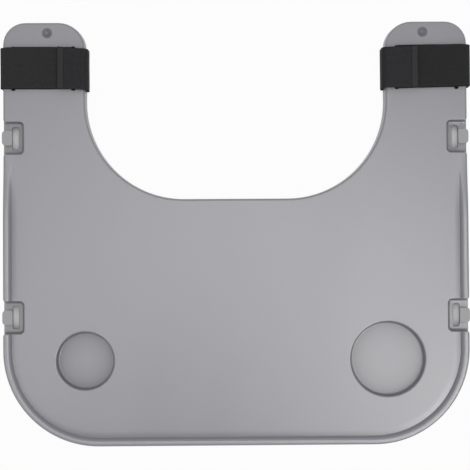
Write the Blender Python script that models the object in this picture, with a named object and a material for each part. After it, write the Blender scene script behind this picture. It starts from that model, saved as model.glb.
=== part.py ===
"""Lap tray with a body cut-out, cup wells, edge hooks and two wrap-round straps.

Metres, +Z up. +Y runs from the front edge towards the arms and the user. Left is -X and
right is +X, as seen from the front edge. The origin lies under the middle of the tray, on
the plane that it rests on.
"""

import math

import bmesh
import bpy
from mathutils import Vector

# Tray outline, seen from above
TRAY_WIDTH = 0.549
TRAY_LENGTH = 0.500
ARM_WIDTH = 0.098
DECK_DEPTH = 0.291            # front edge to the bottom of the body cut-out
CUTOUT_CORNER_WIDTH = 0.115   # across the tray; its height follows from the strap's place
CUTOUT_CORNER_CLEARANCE = 0.0128  # end of the cut-out's corner to the strap's slot
FRONT_RADIUS = 0.113
TIP_OUTER_RADIUS = 0.027
TIP_INNER_RADIUS = 0.032

# Moulded wall
DECK_HEIGHT = 0.018           # top of the deck above the resting plane
DECK_WALL = 0.003
SKIRT_WALL = 0.0026
SKIRT_DRAFT = 0.001           # how far the skirt leans in from its foot to its top
EDGE_ROUND = 0.0025

# Raised border along the front and the lower part of the sides
RIM_HEIGHT = 0.005
RIM_INSET = 0.0108            # tray edge to the foot of the border's inner slope
RIM_SLOPE_RUN = 0.0044
RIM_COVE = 0.003
RIM_FULL_AT = 0.255           # distance from the front edge where the border is full
RIM_GONE_AT = 0.330           # distance from the front edge where it has faded out

# Ribs under the deck
RIB_WALL = 0.0018
RIB_SETBACK = 0.0005          # ribs stop this far above the resting plane
ARM_RIB_COUNT = 5             # rib spaces from the centre line to an arm's middle
CROSS_RIB_COUNT = 8           # rib spaces from the front edge to the strap bay

# Cup wells
SMALL_WELL_DIAMETER = 0.070
LARGE_WELL_DIAMETER = 0.090
WELL_DEPTH = 0.012
WELL_DRAFT = 0.0012
WELL_TOP_ROUND = 0.0016
WELL_FOOT_ROUND = 0.0025
WELL_FLOOR_WALL = 0.0025
WELL_SIDE_OFFSET = 0.178      # centre line to a well's centre
WELL_FRONT_OFFSET = 0.1006    # front edge to a well's centre

# Edge pockets, open to the side
POCKET_LENGTH = 0.038
POCKET_REACH = 0.0249         # tray edge to the pocket's inner wall
POCKET_DEPTH = 0.007
POCKET_ROUND = 0.005
POCKET_MOUTH_ROUND = 0.003
POCKET_FLOOR_WALL = 0.003
FRONT_POCKET_OFFSET = 0.1518  # front edge to a front pocket's middle
REAR_POCKET_OFFSET = 0.1370   # arm tip to a rear pocket's middle
HOOK_SLOT_WIDTH = 0.0085
HOOK_SLOT_LENGTH = 0.0274
HOOK_SLOT_ROUND = 0.0025
HOOK_SLOT_INSET = 0.0112      # tray edge to the slot's nearer side

# T-headed edge hooks
HEAD_LENGTH = 0.0178          # along the tray's edge
HEAD_DEPTH = 0.0114           # across the tray's edge
HEAD_OVERHANG = 0.0006        # how far the head stands past the tray's edge
HEAD_THICKNESS = 0.0032
HEAD_ROUND = 0.003
HEAD_EDGE_ROUND = 0.0007
NECK_LENGTH = 0.009
NECK_DEPTH = 0.005
NECK_INSET = 0.004
BARB_REACH = 0.0011
LEG_DROP = 0.004              # pocket floor's underside to the leg's tip
LEG_TAPER = 0.0008
LEG_SPLIT = 0.0018

# Blind dimples near the arm tips
DIMPLE_DIAMETER = 0.0118
DIMPLE_DEPTH = 0.005
DIMPLE_TIP_OFFSET = 0.0135
DIMPLE_ARM_SHIFT = 0.0039     # from the arm's middle towards the cut-out
DIMPLE_BOSS_WALL = 0.0022
DIMPLE_FLOOR_WALL = 0.002

# Straps
STRAP_WIDTH = 0.049
WEBBING = 0.0012
PATCH = 0.0008
BEND_RADIUS = 0.0014          # of the webbing's middle line
STRAP_TIP_OFFSET = 0.0553     # arm tip to the strap's middle
STRAP_SLOT_WIDTH = 0.005
STRAP_SLOT_ROUND_SHARE = 0.45 # corner radius as a share of the slot's width
STRAP_SLOT_CLEARANCE = 0.0014 # slot longer than the strap is wide, at each end
INNER_SLOT_INSET = 0.0144     # cut-out edge to the inner slot's middle
OUTER_SLOT_INSET = 0.0133     # outer edge to the outer slot's middle
UNDER_GAP = 0.0006            # resting plane to the webbing's underside
TAIL_SETBACK = 0.0115         # cut-out edge to the end of the outer layer
PATCH_MARGIN = 0.001
LOOP_END_MARGIN = 0.003
LEFT_FLAP_LENGTH = 0.0323
RIGHT_FLAP_LENGTH = 0.0382
HOOK_PATCH_START = 0.009      # hinge line to the hook patch
BINDING_WIDTH = 0.0068
BINDING_TAPE = 0.0006
STRAP_BAY_CLEARANCE = 0.0006  # slot's end to the rib beside it

# Shared clearances and steps
TOUCH_GAP = 0.0003
OVERRUN = 0.004
WELD = 0.000002
CORNER_STEPS = 12
SMALL_STEPS = 7
ROUND_STEPS = 3
BOWL_STEPS = 6
FADE_STEPS = 10
WELL_STEPS = 48
SMOOTH_ANGLE = math.radians(35)
SIDES = {"left": -1, "right": 1}

# Places worked out from the sizes above
FRONT_Y = -TRAY_LENGTH / 2
TIP_Y = TRAY_LENGTH / 2
EDGE_X = TRAY_WIDTH / 2
CUTOUT_X = EDGE_X - ARM_WIDTH
CUTOUT_Y = FRONT_Y + DECK_DEPTH
ARM_MIDDLE_X = EDGE_X - ARM_WIDTH / 2
DECK_UNDER = DECK_HEIGHT - DECK_WALL
BURIED = DECK_HEIGHT - DECK_WALL / 2
RIM_SLOPE = math.atan2(RIM_HEIGHT, RIM_SLOPE_RUN)
POCKET_FLOOR = DECK_HEIGHT - POCKET_DEPTH
FRONT_POCKET_Y = FRONT_Y + FRONT_POCKET_OFFSET
REAR_POCKET_Y = TIP_Y - REAR_POCKET_OFFSET
STRAP_Y = TIP_Y - STRAP_TIP_OFFSET
STRAP_SLOT_LENGTH = STRAP_WIDTH + 2 * STRAP_SLOT_CLEARANCE
CUTOUT_CORNER_TOP = STRAP_Y - STRAP_SLOT_LENGTH / 2 - CUTOUT_CORNER_CLEARANCE
UNDER_Z = UNDER_GAP + WEBBING / 2
RUN_Z = DECK_HEIGHT + TOUCH_GAP + WEBBING / 2
TAIL_Z = RUN_Z + WEBBING + TOUCH_GAP
LOOP_Z = TAIL_Z + WEBBING / 2 + TOUCH_GAP
HOOK_Z = LOOP_Z + PATCH + TOUCH_GAP
FLAP_Z = HOOK_Z + PATCH + TOUCH_GAP + WEBBING / 2
WRAP_OFFSET = TOUCH_GAP + WEBBING / 2
HINGE_X = CUTOUT_X - WRAP_OFFSET


def material(name, colour, roughness, metallic=0.0):
    """A Principled BSDF material in one finish."""
    mat = bpy.data.materials.new(name)
    mat.use_nodes = True
    shader = mat.node_tree.nodes["Principled BSDF"]
    shader.inputs["Base Color"].default_value = (*colour, 1.0)
    shader.inputs["Roughness"].default_value = roughness
    shader.inputs["Metallic"].default_value = metallic
    mat.diffuse_color = (*colour, 1.0)
    return mat


def new_object(name, bm, mat=None):
    """Turn a bmesh into a named object, with its doubles merged and its faces outward."""
    bmesh.ops.remove_doubles(bm, verts=bm.verts, dist=WELD)
    bmesh.ops.recalc_face_normals(bm, faces=bm.faces)
    mesh = bpy.data.meshes.new(name)
    bm.to_mesh(mesh)
    bm.free()
    obj = bpy.data.objects.new(name, mesh)
    bpy.context.collection.objects.link(obj)
    if mat:
        mesh.materials.append(mat)
    return obj


def shade(obj):
    """Smooth shading that keeps the edges sharper than SMOOTH_ANGLE."""
    obj.data.shade_smooth()
    obj.data.set_sharp_from_angle(angle=SMOOTH_ANGLE)


def loft(rings):
    """A closed solid through rings of equally many points, with both ends filled."""
    bm = bmesh.new()
    layers = [[bm.verts.new(p) for p in ring] for ring in rings]
    for low, high in zip(layers, layers[1:]):
        for i in range(len(low)):
            j = (i + 1) % len(low)
            bm.faces.new((low[i], low[j], high[j], high[i]))
    bm.faces.new(layers[0])
    bm.faces.new(layers[-1])
    return bm


def prism(points, low, high):
    """A flat outline in X and Y, raised from low to high."""
    return loft([[(x, y, z) for x, y in points] for z in (low, high)])


def strip(points, middle, width):
    """A flat outline in X and Z, drawn out along Y."""
    ends = (middle - width / 2, middle + width / 2)
    return loft([[(x, y, z) for x, z in points] for y in ends])


def box(low, high):
    """A block between two opposite corners."""
    corners = [(low[0], low[1]), (high[0], low[1]), (high[0], high[1]), (low[0], high[1])]
    return prism(corners, low[2], high[2])


def turned(profile, centre, steps):
    """A solid of revolution: profile points are (radius, height), from axis to axis."""
    bm = bmesh.new()
    verts = [bm.verts.new((centre[0] + r, centre[1], z)) for r, z in profile]
    edges = [bm.edges.new(pair) for pair in zip(verts, verts[1:])]
    bmesh.ops.spin(bm, geom=verts + edges, cent=(centre[0], centre[1], 0), axis=(0, 0, 1),
                   angle=math.tau, steps=steps)
    return bm


def arc(centre, radius, start, end, steps):
    """Points of a circular arc, angles in degrees, both ends included."""
    angles = [math.radians(start + (end - start) * i / steps) for i in range(steps + 1)]
    return [(centre[0] + radius * math.cos(a), centre[1] + radius * math.sin(a)) for a in angles]


def rounded_rectangle(low, high, radius, steps):
    """A rectangle with four round corners, anticlockwise."""
    x0, y0, x1, y1 = low[0] + radius, low[1] + radius, high[0] - radius, high[1] - radius
    corners = (((x0, y0), 180), ((x1, y0), 270), ((x1, y1), 0), ((x0, y1), 90))
    return [p for centre, start in corners for p in arc(centre, radius, start, start + 90, steps)]


class Station:
    """A point of the tray's outline, the direction into the tray, and the border's share."""

    def __init__(self, point, inward, rim_share=0.0):
        self.point = Vector(point)
        self.inward = Vector(inward).normalized()
        self.rim_share = rim_share

    def mirrored(self):
        """The same station on the other side of the centre line."""
        flip = Vector((-1, 1))
        return Station(self.point * flip, self.inward * flip, self.rim_share)

    def inset(self, distance):
        """The point moved into the tray."""
        return self.point + self.inward * distance


def rim_share(y):
    """How much of the border's height stands at a place along the tray's side."""
    t = (FRONT_Y + RIM_GONE_AT - y) / (RIM_GONE_AT - RIM_FULL_AT)
    t = min(max(t, 0.0), 1.0)
    return t * t * (3 - 2 * t)


def bend(centre, radius, start, end, steps, rim=0.0):
    """Stations along a round corner of the tray."""
    points = arc(centre, radius, start, end, steps)
    return [Station(p, Vector(centre) - Vector(p), rim) for p in points]


def cutout_bend():
    """Stations along a quarter of an ellipse, from the cut-out's side to its bottom. Its
    height is what the strap leaves free on the arm."""
    width, height = CUTOUT_CORNER_WIDTH, CUTOUT_CORNER_TOP - CUTOUT_Y
    stations = []
    for x, y in arc((0, 0), 1, 0, -90, CORNER_STEPS):
        place = (CUTOUT_X - width + width * x, CUTOUT_CORNER_TOP + height * y)
        stations.append(Station(place, (x * height, y * width)))
    return stations


def half_outline():
    """Right half of the outline, from the front's middle round to the cut-out's bottom."""
    stations = [Station((0, FRONT_Y), (0, 1), 1.0)]
    stations += bend((EDGE_X - FRONT_RADIUS, FRONT_Y + FRONT_RADIUS), FRONT_RADIUS,
                     -90, 0, CORNER_STEPS, rim=1.0)
    for i in range(FADE_STEPS + 1):
        y = FRONT_Y + RIM_FULL_AT + (RIM_GONE_AT - RIM_FULL_AT) * i / FADE_STEPS
        stations.append(Station((EDGE_X, y), (-1, 0), rim_share(y)))
    stations += bend((EDGE_X - TIP_OUTER_RADIUS, TIP_Y - TIP_OUTER_RADIUS), TIP_OUTER_RADIUS,
                     0, 90, SMALL_STEPS)
    stations += bend((CUTOUT_X + TIP_INNER_RADIUS, TIP_Y - TIP_INNER_RADIUS), TIP_INNER_RADIUS,
                     90, 180, SMALL_STEPS)
    stations += cutout_bend()
    stations.append(Station((0, CUTOUT_Y), (0, -1)))
    return stations


def full_outline():
    """The whole outline, anticlockwise from the front's middle."""
    right = half_outline()
    left = [s.mirrored() for s in reversed(right[1:-1])]
    return right + left


def wall_section(share):
    """Cross-section of the tray's edge as (inset, height) points, from under the deck,
    down inside the skirt, up outside it, over the border and on to the deck."""
    top = DECK_HEIGHT + share * RIM_HEIGHT
    crest = RIM_INSET - share * RIM_SLOPE_RUN
    mitre = DECK_WALL * math.tan(RIM_SLOPE / 2)
    under = [(RIM_INSET - mitre, DECK_UNDER), (crest - mitre, top - DECK_WALL),
             (SKIRT_WALL + SKIRT_DRAFT, top - DECK_WALL), (SKIRT_WALL, 0)]
    edge_centre = (SKIRT_DRAFT + EDGE_ROUND, top - EDGE_ROUND)
    outside = [(0, 0)] + arc(edge_centre, EDGE_ROUND, 180, 90, ROUND_STEPS)
    cove = share * RIM_COVE / 2
    cove_rise = share * cove * math.tan(RIM_SLOPE)
    inside = [(crest, top), (RIM_INSET - cove, DECK_HEIGHT + cove_rise),
              (RIM_INSET + RIM_COVE, DECK_HEIGHT)]
    return under + outside + inside


def tray_shell(name):
    """Deck, border and skirt as one thin closed wall that follows the outline."""
    outline = full_outline()
    sections = [wall_section(s.rim_share) for s in outline]
    rings = []
    for k in range(len(sections[0])):
        ring = []
        for station, section in zip(outline, sections):
            inset, height = section[k]
            ring.append((*station.inset(inset), height))
        rings.append(ring)
    return new_object(name, loft(rings))


def crossings(value, axis, inset):
    """Where a straight rib at x or y = value meets the outline moved in by inset."""
    points = [s.inset(inset) for s in full_outline()]
    other = 1 - axis
    hits = []
    for a, b in zip(points, points[1:] + points[:1]):
        if (a[axis] > value) != (b[axis] > value):
            t = (value - a[axis]) / (b[axis] - a[axis])
            hits.append(a[other] + (b[other] - a[other]) * t)
    return sorted(hits)


def ribs():
    """Ribs under the deck, both ways, ended inside the skirt's wall."""
    seat = (SKIRT_WALL + SKIRT_DRAFT) / 2
    half = RIB_WALL / 2
    made = []
    bay_half = STRAP_SLOT_LENGTH / 2 + STRAP_BAY_CLEARANCE + half
    bay_low = STRAP_Y - bay_half
    cross_pitch = (bay_low - FRONT_Y) / CROSS_RIB_COUNT
    cross = [FRONT_Y + cross_pitch * i for i in range(1, CROSS_RIB_COUNT + 1)]
    cross.append(STRAP_Y + bay_half)
    pocket_limit = EDGE_X - POCKET_REACH - SKIRT_WALL / 2
    for y in cross:
        ends = crossings(y, 1, seat)
        if any(abs(y - place[3]) < POCKET_LENGTH / 2 + SKIRT_WALL for place in pocket_places()):
            ends = [min(max(x, -pocket_limit), pocket_limit) for x in ends]
        for a, b in zip(ends[::2], ends[1::2]):
            made.append(box((a, y - half, RIB_SETBACK), (b, y + half, BURIED)))
    first_past_cutout = next(y for y in cross if y > CUTOUT_Y + cross_pitch)
    pitch = ARM_MIDDLE_X / ARM_RIB_COUNT
    for i in range(-ARM_RIB_COUNT, ARM_RIB_COUNT + 1):
        x = pitch * i
        ends = crossings(x, 0, seat)
        low, high = ends[0], ends[1]
        if abs(i) < ARM_RIB_COUNT:
            high = min(high, first_past_cutout)
        made.append(box((x - half, low, RIB_SETBACK), (x + half, high, BURIED)))
    return made


def well_profiles(diameter):
    """Profiles of a cup well: the cup that carries it, and the hollow inside."""
    top = diameter / 2
    wall_top = top - WELL_TOP_ROUND
    wall_foot = wall_top - WELL_DRAFT
    floor = DECK_HEIGHT - WELL_DEPTH
    outer = wall_top + WELL_FLOOR_WALL
    under = floor - WELL_FLOOR_WALL
    cup = [(0, BURIED), (outer, BURIED), (outer, floor), (outer - WELL_FLOOR_WALL, under), (0, under)]
    lip = arc((top, DECK_HEIGHT - WELL_TOP_ROUND), WELL_TOP_ROUND, 90, 180, ROUND_STEPS)
    foot = arc((wall_foot - WELL_FOOT_ROUND, floor + WELL_FOOT_ROUND), WELL_FOOT_ROUND,
               0, -90, ROUND_STEPS)
    hollow = [(0, DECK_HEIGHT + OVERRUN), (top, DECK_HEIGHT + OVERRUN)] + lip + foot + [(0, floor)]
    return cup, hollow


def pocket_block(side, y, share):
    """The wall round an edge pocket, buried in the deck's, border's and skirt's own wall."""
    top = DECK_HEIGHT + share * RIM_HEIGHT
    crest = RIM_INSET - share * RIM_SLOPE_RUN
    half_mitre = DECK_WALL * math.tan(RIM_SLOPE / 2) / 2
    seat = (SKIRT_WALL + SKIRT_DRAFT) / 2
    reach = POCKET_REACH + SKIRT_WALL
    under = POCKET_FLOOR - POCKET_FLOOR_WALL
    section = [(seat, under), (seat, top - DECK_WALL / 2), (crest - half_mitre, top - DECK_WALL / 2),
               (RIM_INSET - half_mitre, BURIED), (reach, BURIED), (reach, under)]
    return strip([(side * (EDGE_X - u), z) for u, z in section], y, POCKET_LENGTH + 2 * SKIRT_WALL)


def pocket_frame(side, y):
    """Ribs that carry a pocket's walls down round the space under its floor."""
    half = RIB_WALL / 2
    wall = SKIRT_WALL / 2
    seat = EDGE_X - (SKIRT_WALL + SKIRT_DRAFT) / 2
    inner = EDGE_X - POCKET_REACH - wall
    end = POCKET_LENGTH / 2 + wall
    top = POCKET_FLOOR - POCKET_FLOOR_WALL / 2
    xs = sorted((side * (inner - half), side * (inner + half)))
    made = [box((xs[0], y - end, RIB_SETBACK), (xs[1], y + end, top))]
    xs = sorted((side * inner, side * seat))
    for middle in (y - end, y + end):
        made.append(box((xs[0], middle - half, RIB_SETBACK), (xs[1], middle + half, top)))
    return made


def pocket_hollow(side, y):
    """The space of an edge pocket, with round inner corners and a flared mouth."""
    half = POCKET_LENGTH / 2
    mouth = half + POCKET_MOUTH_ROUND
    corner = half - POCKET_ROUND
    depth = POCKET_REACH - POCKET_ROUND
    outline = [(-OVERRUN, -mouth)]
    outline += arc((POCKET_MOUTH_ROUND, -mouth), POCKET_MOUTH_ROUND, 180, 90, ROUND_STEPS)
    outline += arc((depth, -corner), POCKET_ROUND, -90, 0, ROUND_STEPS)
    outline += arc((depth, corner), POCKET_ROUND, 0, 90, ROUND_STEPS)
    outline += arc((POCKET_MOUTH_ROUND, mouth), POCKET_MOUTH_ROUND, 270, 180, ROUND_STEPS)
    outline.append((-OVERRUN, mouth))
    points = [(side * (EDGE_X - u), y + v) for u, v in outline]
    return prism(points, POCKET_FLOOR, DECK_HEIGHT + RIM_HEIGHT + OVERRUN)


def slot_hollow(x, y, width, length, radius, low, high):
    """A through slot with round corners, long side along Y."""
    corners = ((x - width / 2, y - length / 2), (x + width / 2, y + length / 2))
    return prism(rounded_rectangle(*corners, radius, ROUND_STEPS), low, high)


def pocket_places():
    """Side and middle of each edge pocket, with the border's share there."""
    for name, side in SIDES.items():
        for place, y in (("rear", REAR_POCKET_Y), ("front", FRONT_POCKET_Y)):
            yield name, place, side, y, rim_share(y)


def tray_additions():
    """What is moulded under the deck."""
    made = ribs()
    for side, diameter in ((-1, SMALL_WELL_DIAMETER), (1, LARGE_WELL_DIAMETER)):
        centre = (side * WELL_SIDE_OFFSET, FRONT_Y + WELL_FRONT_OFFSET)
        made.append(turned(well_profiles(diameter)[0], centre, WELL_STEPS))
    for _, _, side, y, share in pocket_places():
        made.append(pocket_block(side, y, share))
        made += pocket_frame(side, y)
    boss = DIMPLE_DIAMETER / 2 + DIMPLE_BOSS_WALL
    boss_foot = DECK_HEIGHT - DIMPLE_DEPTH - DIMPLE_FLOOR_WALL
    for side in SIDES.values():
        profile = [(0, BURIED), (boss, BURIED), (boss, boss_foot), (0, boss_foot)]
        made.append(turned(profile, dimple_centre(side), WELL_STEPS // 2))
    return made


def dimple_centre(side):
    """Middle of the dimple near an arm's tip."""
    return side * (ARM_MIDDLE_X - DIMPLE_ARM_SHIFT), TIP_Y - DIMPLE_TIP_OFFSET


def tray_cuts():
    """Hollows, slots, holes and notches of the tray."""
    made = []
    for side, diameter in ((-1, SMALL_WELL_DIAMETER), (1, LARGE_WELL_DIAMETER)):
        centre = (side * WELL_SIDE_OFFSET, FRONT_Y + WELL_FRONT_OFFSET)
        made.append(turned(well_profiles(diameter)[1], centre, WELL_STEPS))
    for _, _, side, y, _ in pocket_places():
        made.append(pocket_hollow(side, y))
        slot_x = side * (EDGE_X - HOOK_SLOT_INSET - HOOK_SLOT_WIDTH / 2)
        made.append(slot_hollow(slot_x, y, HOOK_SLOT_WIDTH, HOOK_SLOT_LENGTH, HOOK_SLOT_ROUND,
                                -OVERRUN, DECK_HEIGHT))
        neck_x = side * (EDGE_X - NECK_INSET - NECK_DEPTH / 2)
        reach = (NECK_DEPTH / 2 + TOUCH_GAP, NECK_LENGTH / 2 + TOUCH_GAP)
        made.append(box((neck_x - reach[0], y - reach[1], POCKET_FLOOR - POCKET_FLOOR_WALL - OVERRUN),
                        (neck_x + reach[0], y + reach[1], DECK_HEIGHT)))
    sphere = (DIMPLE_DIAMETER ** 2 / 4 + DIMPLE_DEPTH ** 2) / (2 * DIMPLE_DEPTH)
    sweep = math.degrees(math.asin(DIMPLE_DIAMETER / 2 / sphere))
    dish = arc((0, DECK_HEIGHT - DIMPLE_DEPTH + sphere), sphere, sweep - 90, -90, BOWL_STEPS)
    dish = [(0, DECK_HEIGHT + OVERRUN), (DIMPLE_DIAMETER / 2, DECK_HEIGHT + OVERRUN)] + dish
    half = STRAP_WIDTH / 2 + STRAP_SLOT_CLEARANCE
    notch = UNDER_GAP + WEBBING + TOUCH_GAP
    for side in SIDES.values():
        made.append(turned(dish, dimple_centre(side), WELL_STEPS // 2))
        for x in (CUTOUT_X + INNER_SLOT_INSET, EDGE_X - OUTER_SLOT_INSET):
            made.append(slot_hollow(side * x, STRAP_Y, STRAP_SLOT_WIDTH, STRAP_SLOT_LENGTH,
                                    STRAP_SLOT_WIDTH * STRAP_SLOT_ROUND_SHARE,
                                    DECK_UNDER - OVERRUN, DECK_HEIGHT + OVERRUN))
        for x in (CUTOUT_X, EDGE_X):
            reach = SKIRT_WALL + OVERRUN / 2
            made.append(box((side * x - reach, STRAP_Y - half, -OVERRUN),
                            (side * x + reach, STRAP_Y + half, notch)))
    return made


def shape_collection(name, shapes):
    """Hidden shapes that a Boolean reads, kept in a collection of their own."""
    group = bpy.data.collections.new(name)
    bpy.context.scene.collection.children.link(group)
    for i, bm in enumerate(shapes):
        obj = new_object(f"{name}_{i}", bm)
        bpy.context.collection.objects.unlink(obj)
        group.objects.link(obj)
        obj.hide_render = True
        obj.display_type = "WIRE"
    return group


def combine(obj, operation, group):
    """A Boolean of an object with every shape in a collection."""
    modifier = obj.modifiers.new(group.name, "BOOLEAN")
    modifier.operation = operation
    modifier.operand_type = "COLLECTION"
    modifier.collection = group
    modifier.solver = "EXACT"


def tray_panel(mat):
    """The moulded tray: shell, ribs, cups and pocket walls, less its hollows and slots."""
    obj = tray_shell("tray_panel")
    obj.data.materials.append(mat)
    combine(obj, "UNION", shape_collection("moulded_under_deck", tray_additions()))
    combine(obj, "DIFFERENCE", shape_collection("hollows", tray_cuts()))
    shade(obj)
    return obj


def edge_hook(name, side, y, mat):
    """A T-headed hook: broad head, neck through the pocket floor and two snap legs."""
    head_low = EDGE_X + HEAD_OVERHANG - HEAD_DEPTH
    head_high = EDGE_X + HEAD_OVERHANG
    top = DECK_HEIGHT
    bottom = top - HEAD_THICKNESS
    r = HEAD_EDGE_ROUND
    rings = []
    for shrink, z in ((r, bottom), (0, bottom + r), (0, top - r), (r, top)):
        low = (head_low + shrink, -HEAD_LENGTH / 2 + shrink)
        high = (head_high - shrink, HEAD_LENGTH / 2 - shrink)
        outline = rounded_rectangle(low, high, HEAD_ROUND - shrink, ROUND_STEPS)
        rings.append([(side * x, y + v, z) for x, v in outline])
    head = new_object(name, loft(rings), mat)

    under = POCKET_FLOOR - POCKET_FLOOR_WALL - TOUCH_GAP
    tip = under - LEG_DROP
    half = NECK_LENGTH / 2
    split = LEG_SPLIT / 2
    right = [(split, tip), (half - LEG_TAPER, tip), (half + BARB_REACH, under - BARB_REACH),
             (half + BARB_REACH, under), (half, under), (half, bottom + HEAD_THICKNESS / 2)]
    left = [(-v, z) for v, z in reversed(right)]
    profile = right + left + [(-split, POCKET_FLOOR), (split, POCKET_FLOOR)]
    x_low = EDGE_X - NECK_INSET - NECK_DEPTH
    rings = [[(side * x, y + v, z) for v, z in profile] for x in (x_low, x_low + NECK_DEPTH)]
    combine(head, "UNION", shape_collection(f"{name}_neck", [loft(rings)]))
    shade(head)
    return head


def rounded_path(corners, radius, steps):
    """A line through corners, each rounded by an arc, as (point, direction) pairs."""
    path = [(Vector(corners[0]), (Vector(corners[1]) - Vector(corners[0])).normalized())]
    for a, b, c in zip(corners, corners[1:], corners[2:]):
        a, b, c = Vector(a), Vector(b), Vector(c)
        into, out = (b - a).normalized(), (c - b).normalized()
        turn = into.angle_signed(out)
        back = radius * math.tan(abs(turn) / 2)
        start = b - into * back
        side = -1 if turn > 0 else 1
        normal = Vector((-into.y, into.x)) * side
        centre = start + normal * radius
        for i in range(steps + 1):
            angle = side * abs(turn) * i / steps
            cos, sin = math.cos(angle), math.sin(angle)
            spoke = start - centre
            point = centre + Vector((spoke.x * cos - spoke.y * sin, spoke.x * sin + spoke.y * cos))
            path.append((point, Vector((into.x * cos - into.y * sin, into.x * sin + into.y * cos))))
    path.append((Vector(corners[-1]), (Vector(corners[-1]) - Vector(corners[-2])).normalized()))
    return path


def ribbon(side, corners, radius):
    """Webbing that follows a line in X and Z: the outline of its cut edge, drawn out in Y."""
    path = rounded_path(corners, radius, ROUND_STEPS)
    half = WEBBING / 2
    upper = [p + Vector((-d.y, d.x)) * half for p, d in path]
    lower = [p - Vector((-d.y, d.x)) * half for p, d in reversed(path)]
    return strip([(side * p.x, p.y) for p in upper + lower], STRAP_Y, STRAP_WIDTH)


def strap_band(side):
    """The strap's long piece: up from the hinge line's foot, round under the cut-out edge,
    up through the inner slot, over the arm, down through the outer slot, round the outer
    edge and back over the arm as the outer layer."""
    inner_slot = CUTOUT_X + INNER_SLOT_INSET
    outer_slot = EDGE_X - OUTER_SLOT_INSET
    outer_wrap = EDGE_X + WRAP_OFFSET
    corners = [(HINGE_X, FLAP_Z - WEBBING / 2 - TOUCH_GAP), (HINGE_X, UNDER_Z),
               (inner_slot, UNDER_Z), (inner_slot, RUN_Z), (outer_slot, RUN_Z),
               (outer_slot, UNDER_Z), (outer_wrap, UNDER_Z), (outer_wrap, TAIL_Z),
               (CUTOUT_X + TAIL_SETBACK, TAIL_Z)]
    return ribbon(side, corners, BEND_RADIUS)


def flap(side, length):
    """The strap's free end: a flat tongue whose root is rounded about the hinge line."""
    half = WEBBING / 2
    end = CUTOUT_X + length - BINDING_TAPE - TOUCH_GAP
    outline = arc((HINGE_X, FLAP_Z), half, 90, 270, SMALL_STEPS - 1)
    outline += [(end, FLAP_Z - half), (end, FLAP_Z + half)]
    return strip([(side * x, z) for x, z in outline], STRAP_Y, STRAP_WIDTH)


def hook_patch(side, length):
    """The hook tape under a flap, from near the hinge line to the end binding."""
    start = HINGE_X + HOOK_PATCH_START
    end = CUTOUT_X + length - BINDING_WIDTH - TOUCH_GAP
    half = STRAP_WIDTH / 2 - PATCH_MARGIN
    xs = sorted((side * start, side * end))
    return box((xs[0], STRAP_Y - half, HOOK_Z), (xs[1], STRAP_Y + half, HOOK_Z + PATCH))


def loop_patch(side):
    """The loop tape on the outer layer."""
    start = CUTOUT_X + TAIL_SETBACK + LOOP_END_MARGIN
    end = EDGE_X + WRAP_OFFSET - BEND_RADIUS
    half = STRAP_WIDTH / 2 - PATCH_MARGIN
    xs = sorted((side * start, side * end))
    return box((xs[0], STRAP_Y - half, LOOP_Z), (xs[1], STRAP_Y + half, LOOP_Z + PATCH))


def flap_binding(side, length):
    """Folded tape round a flap's end: two legs and a round fold."""
    end = CUTOUT_X + length
    start = end - BINDING_WIDTH
    inner = WEBBING / 2 + TOUCH_GAP
    outer = inner + BINDING_TAPE
    fold = end - BINDING_TAPE
    outline = [(start, FLAP_Z - outer), (fold, FLAP_Z - outer), (end, FLAP_Z - inner),
               (end, FLAP_Z + inner), (fold, FLAP_Z + outer), (start, FLAP_Z + outer),
               (start, FLAP_Z + inner), (fold, FLAP_Z + inner), (fold, FLAP_Z - inner),
               (start, FLAP_Z - inner)]
    return strip([(side * x, z) for x, z in outline], STRAP_Y, STRAP_WIDTH)


def hinge_empty(name, side):
    """The hinge line that a flap turns on."""
    empty = bpy.data.objects.new(name, None)
    empty.location = (side * HINGE_X, STRAP_Y, FLAP_Z)
    bpy.context.collection.objects.link(empty)
    return empty


def hang(obj, empty):
    """Parent an object to an empty and leave it where it is."""
    obj.parent = empty
    obj.matrix_parent_inverse = empty.matrix_world.inverted()


def strap(name, side, length, mats):
    """One strap: its band and loop patch, and the flap that turns on the hinge line."""
    new_object(f"{name}_strap_band", strap_band(side), mats["webbing"])
    new_object(f"{name}_loop_patch", loop_patch(side), mats["loop"])
    hinge = hinge_empty(f"{name}_flap_hinge", side)
    bpy.context.view_layer.update()
    hang(new_object(f"{name}_flap", flap(side, length), mats["webbing"]), hinge)
    hang(new_object(f"{name}_hook_patch", hook_patch(side, length), mats["hook"]), hinge)
    hang(new_object(f"{name}_flap_binding", flap_binding(side, length), mats["binding"]), hinge)


def clear_scene():
    """Remove whatever the file holds."""
    for obj in list(bpy.data.objects):
        bpy.data.objects.remove(obj, do_unlink=True)


def build():
    """Make every piece of the tray."""
    clear_scene()
    plastic = material("grey_moulded_plastic", (0.33, 0.33, 0.345), 0.45)
    hook_plastic = material("grey_hook_plastic", (0.33, 0.33, 0.33), 0.6)
    mats = {
        "webbing": material("dark_webbing", (0.028, 0.028, 0.030), 0.85),
        "loop": material("dark_loop_tape", (0.022, 0.022, 0.024), 0.95),
        "hook": material("dark_hook_tape", (0.030, 0.030, 0.032), 0.6),
        "binding": material("dark_binding_tape", (0.040, 0.040, 0.041), 0.8),
    }
    tray_panel(plastic)
    for name, place, side, y, _ in pocket_places():
        edge_hook(f"edge_hook_{name}_{place}", side, y, hook_plastic)
    strap("left", SIDES["left"], LEFT_FLAP_LENGTH, mats)
    strap("right", SIDES["right"], RIGHT_FLAP_LENGTH, mats)


build()
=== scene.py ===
# %% [markdown]
# # A grey lap tray, dressed round its frame
# The tray is one moulded plastic panel with a cut-out for the body, four small hooks in
# pockets along its sides, and a wrap-round strap on each arm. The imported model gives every
# piece its place, so nothing here is moved to fit. We start by loading it and keeping its box.

# %% Load the frame
import math

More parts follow.
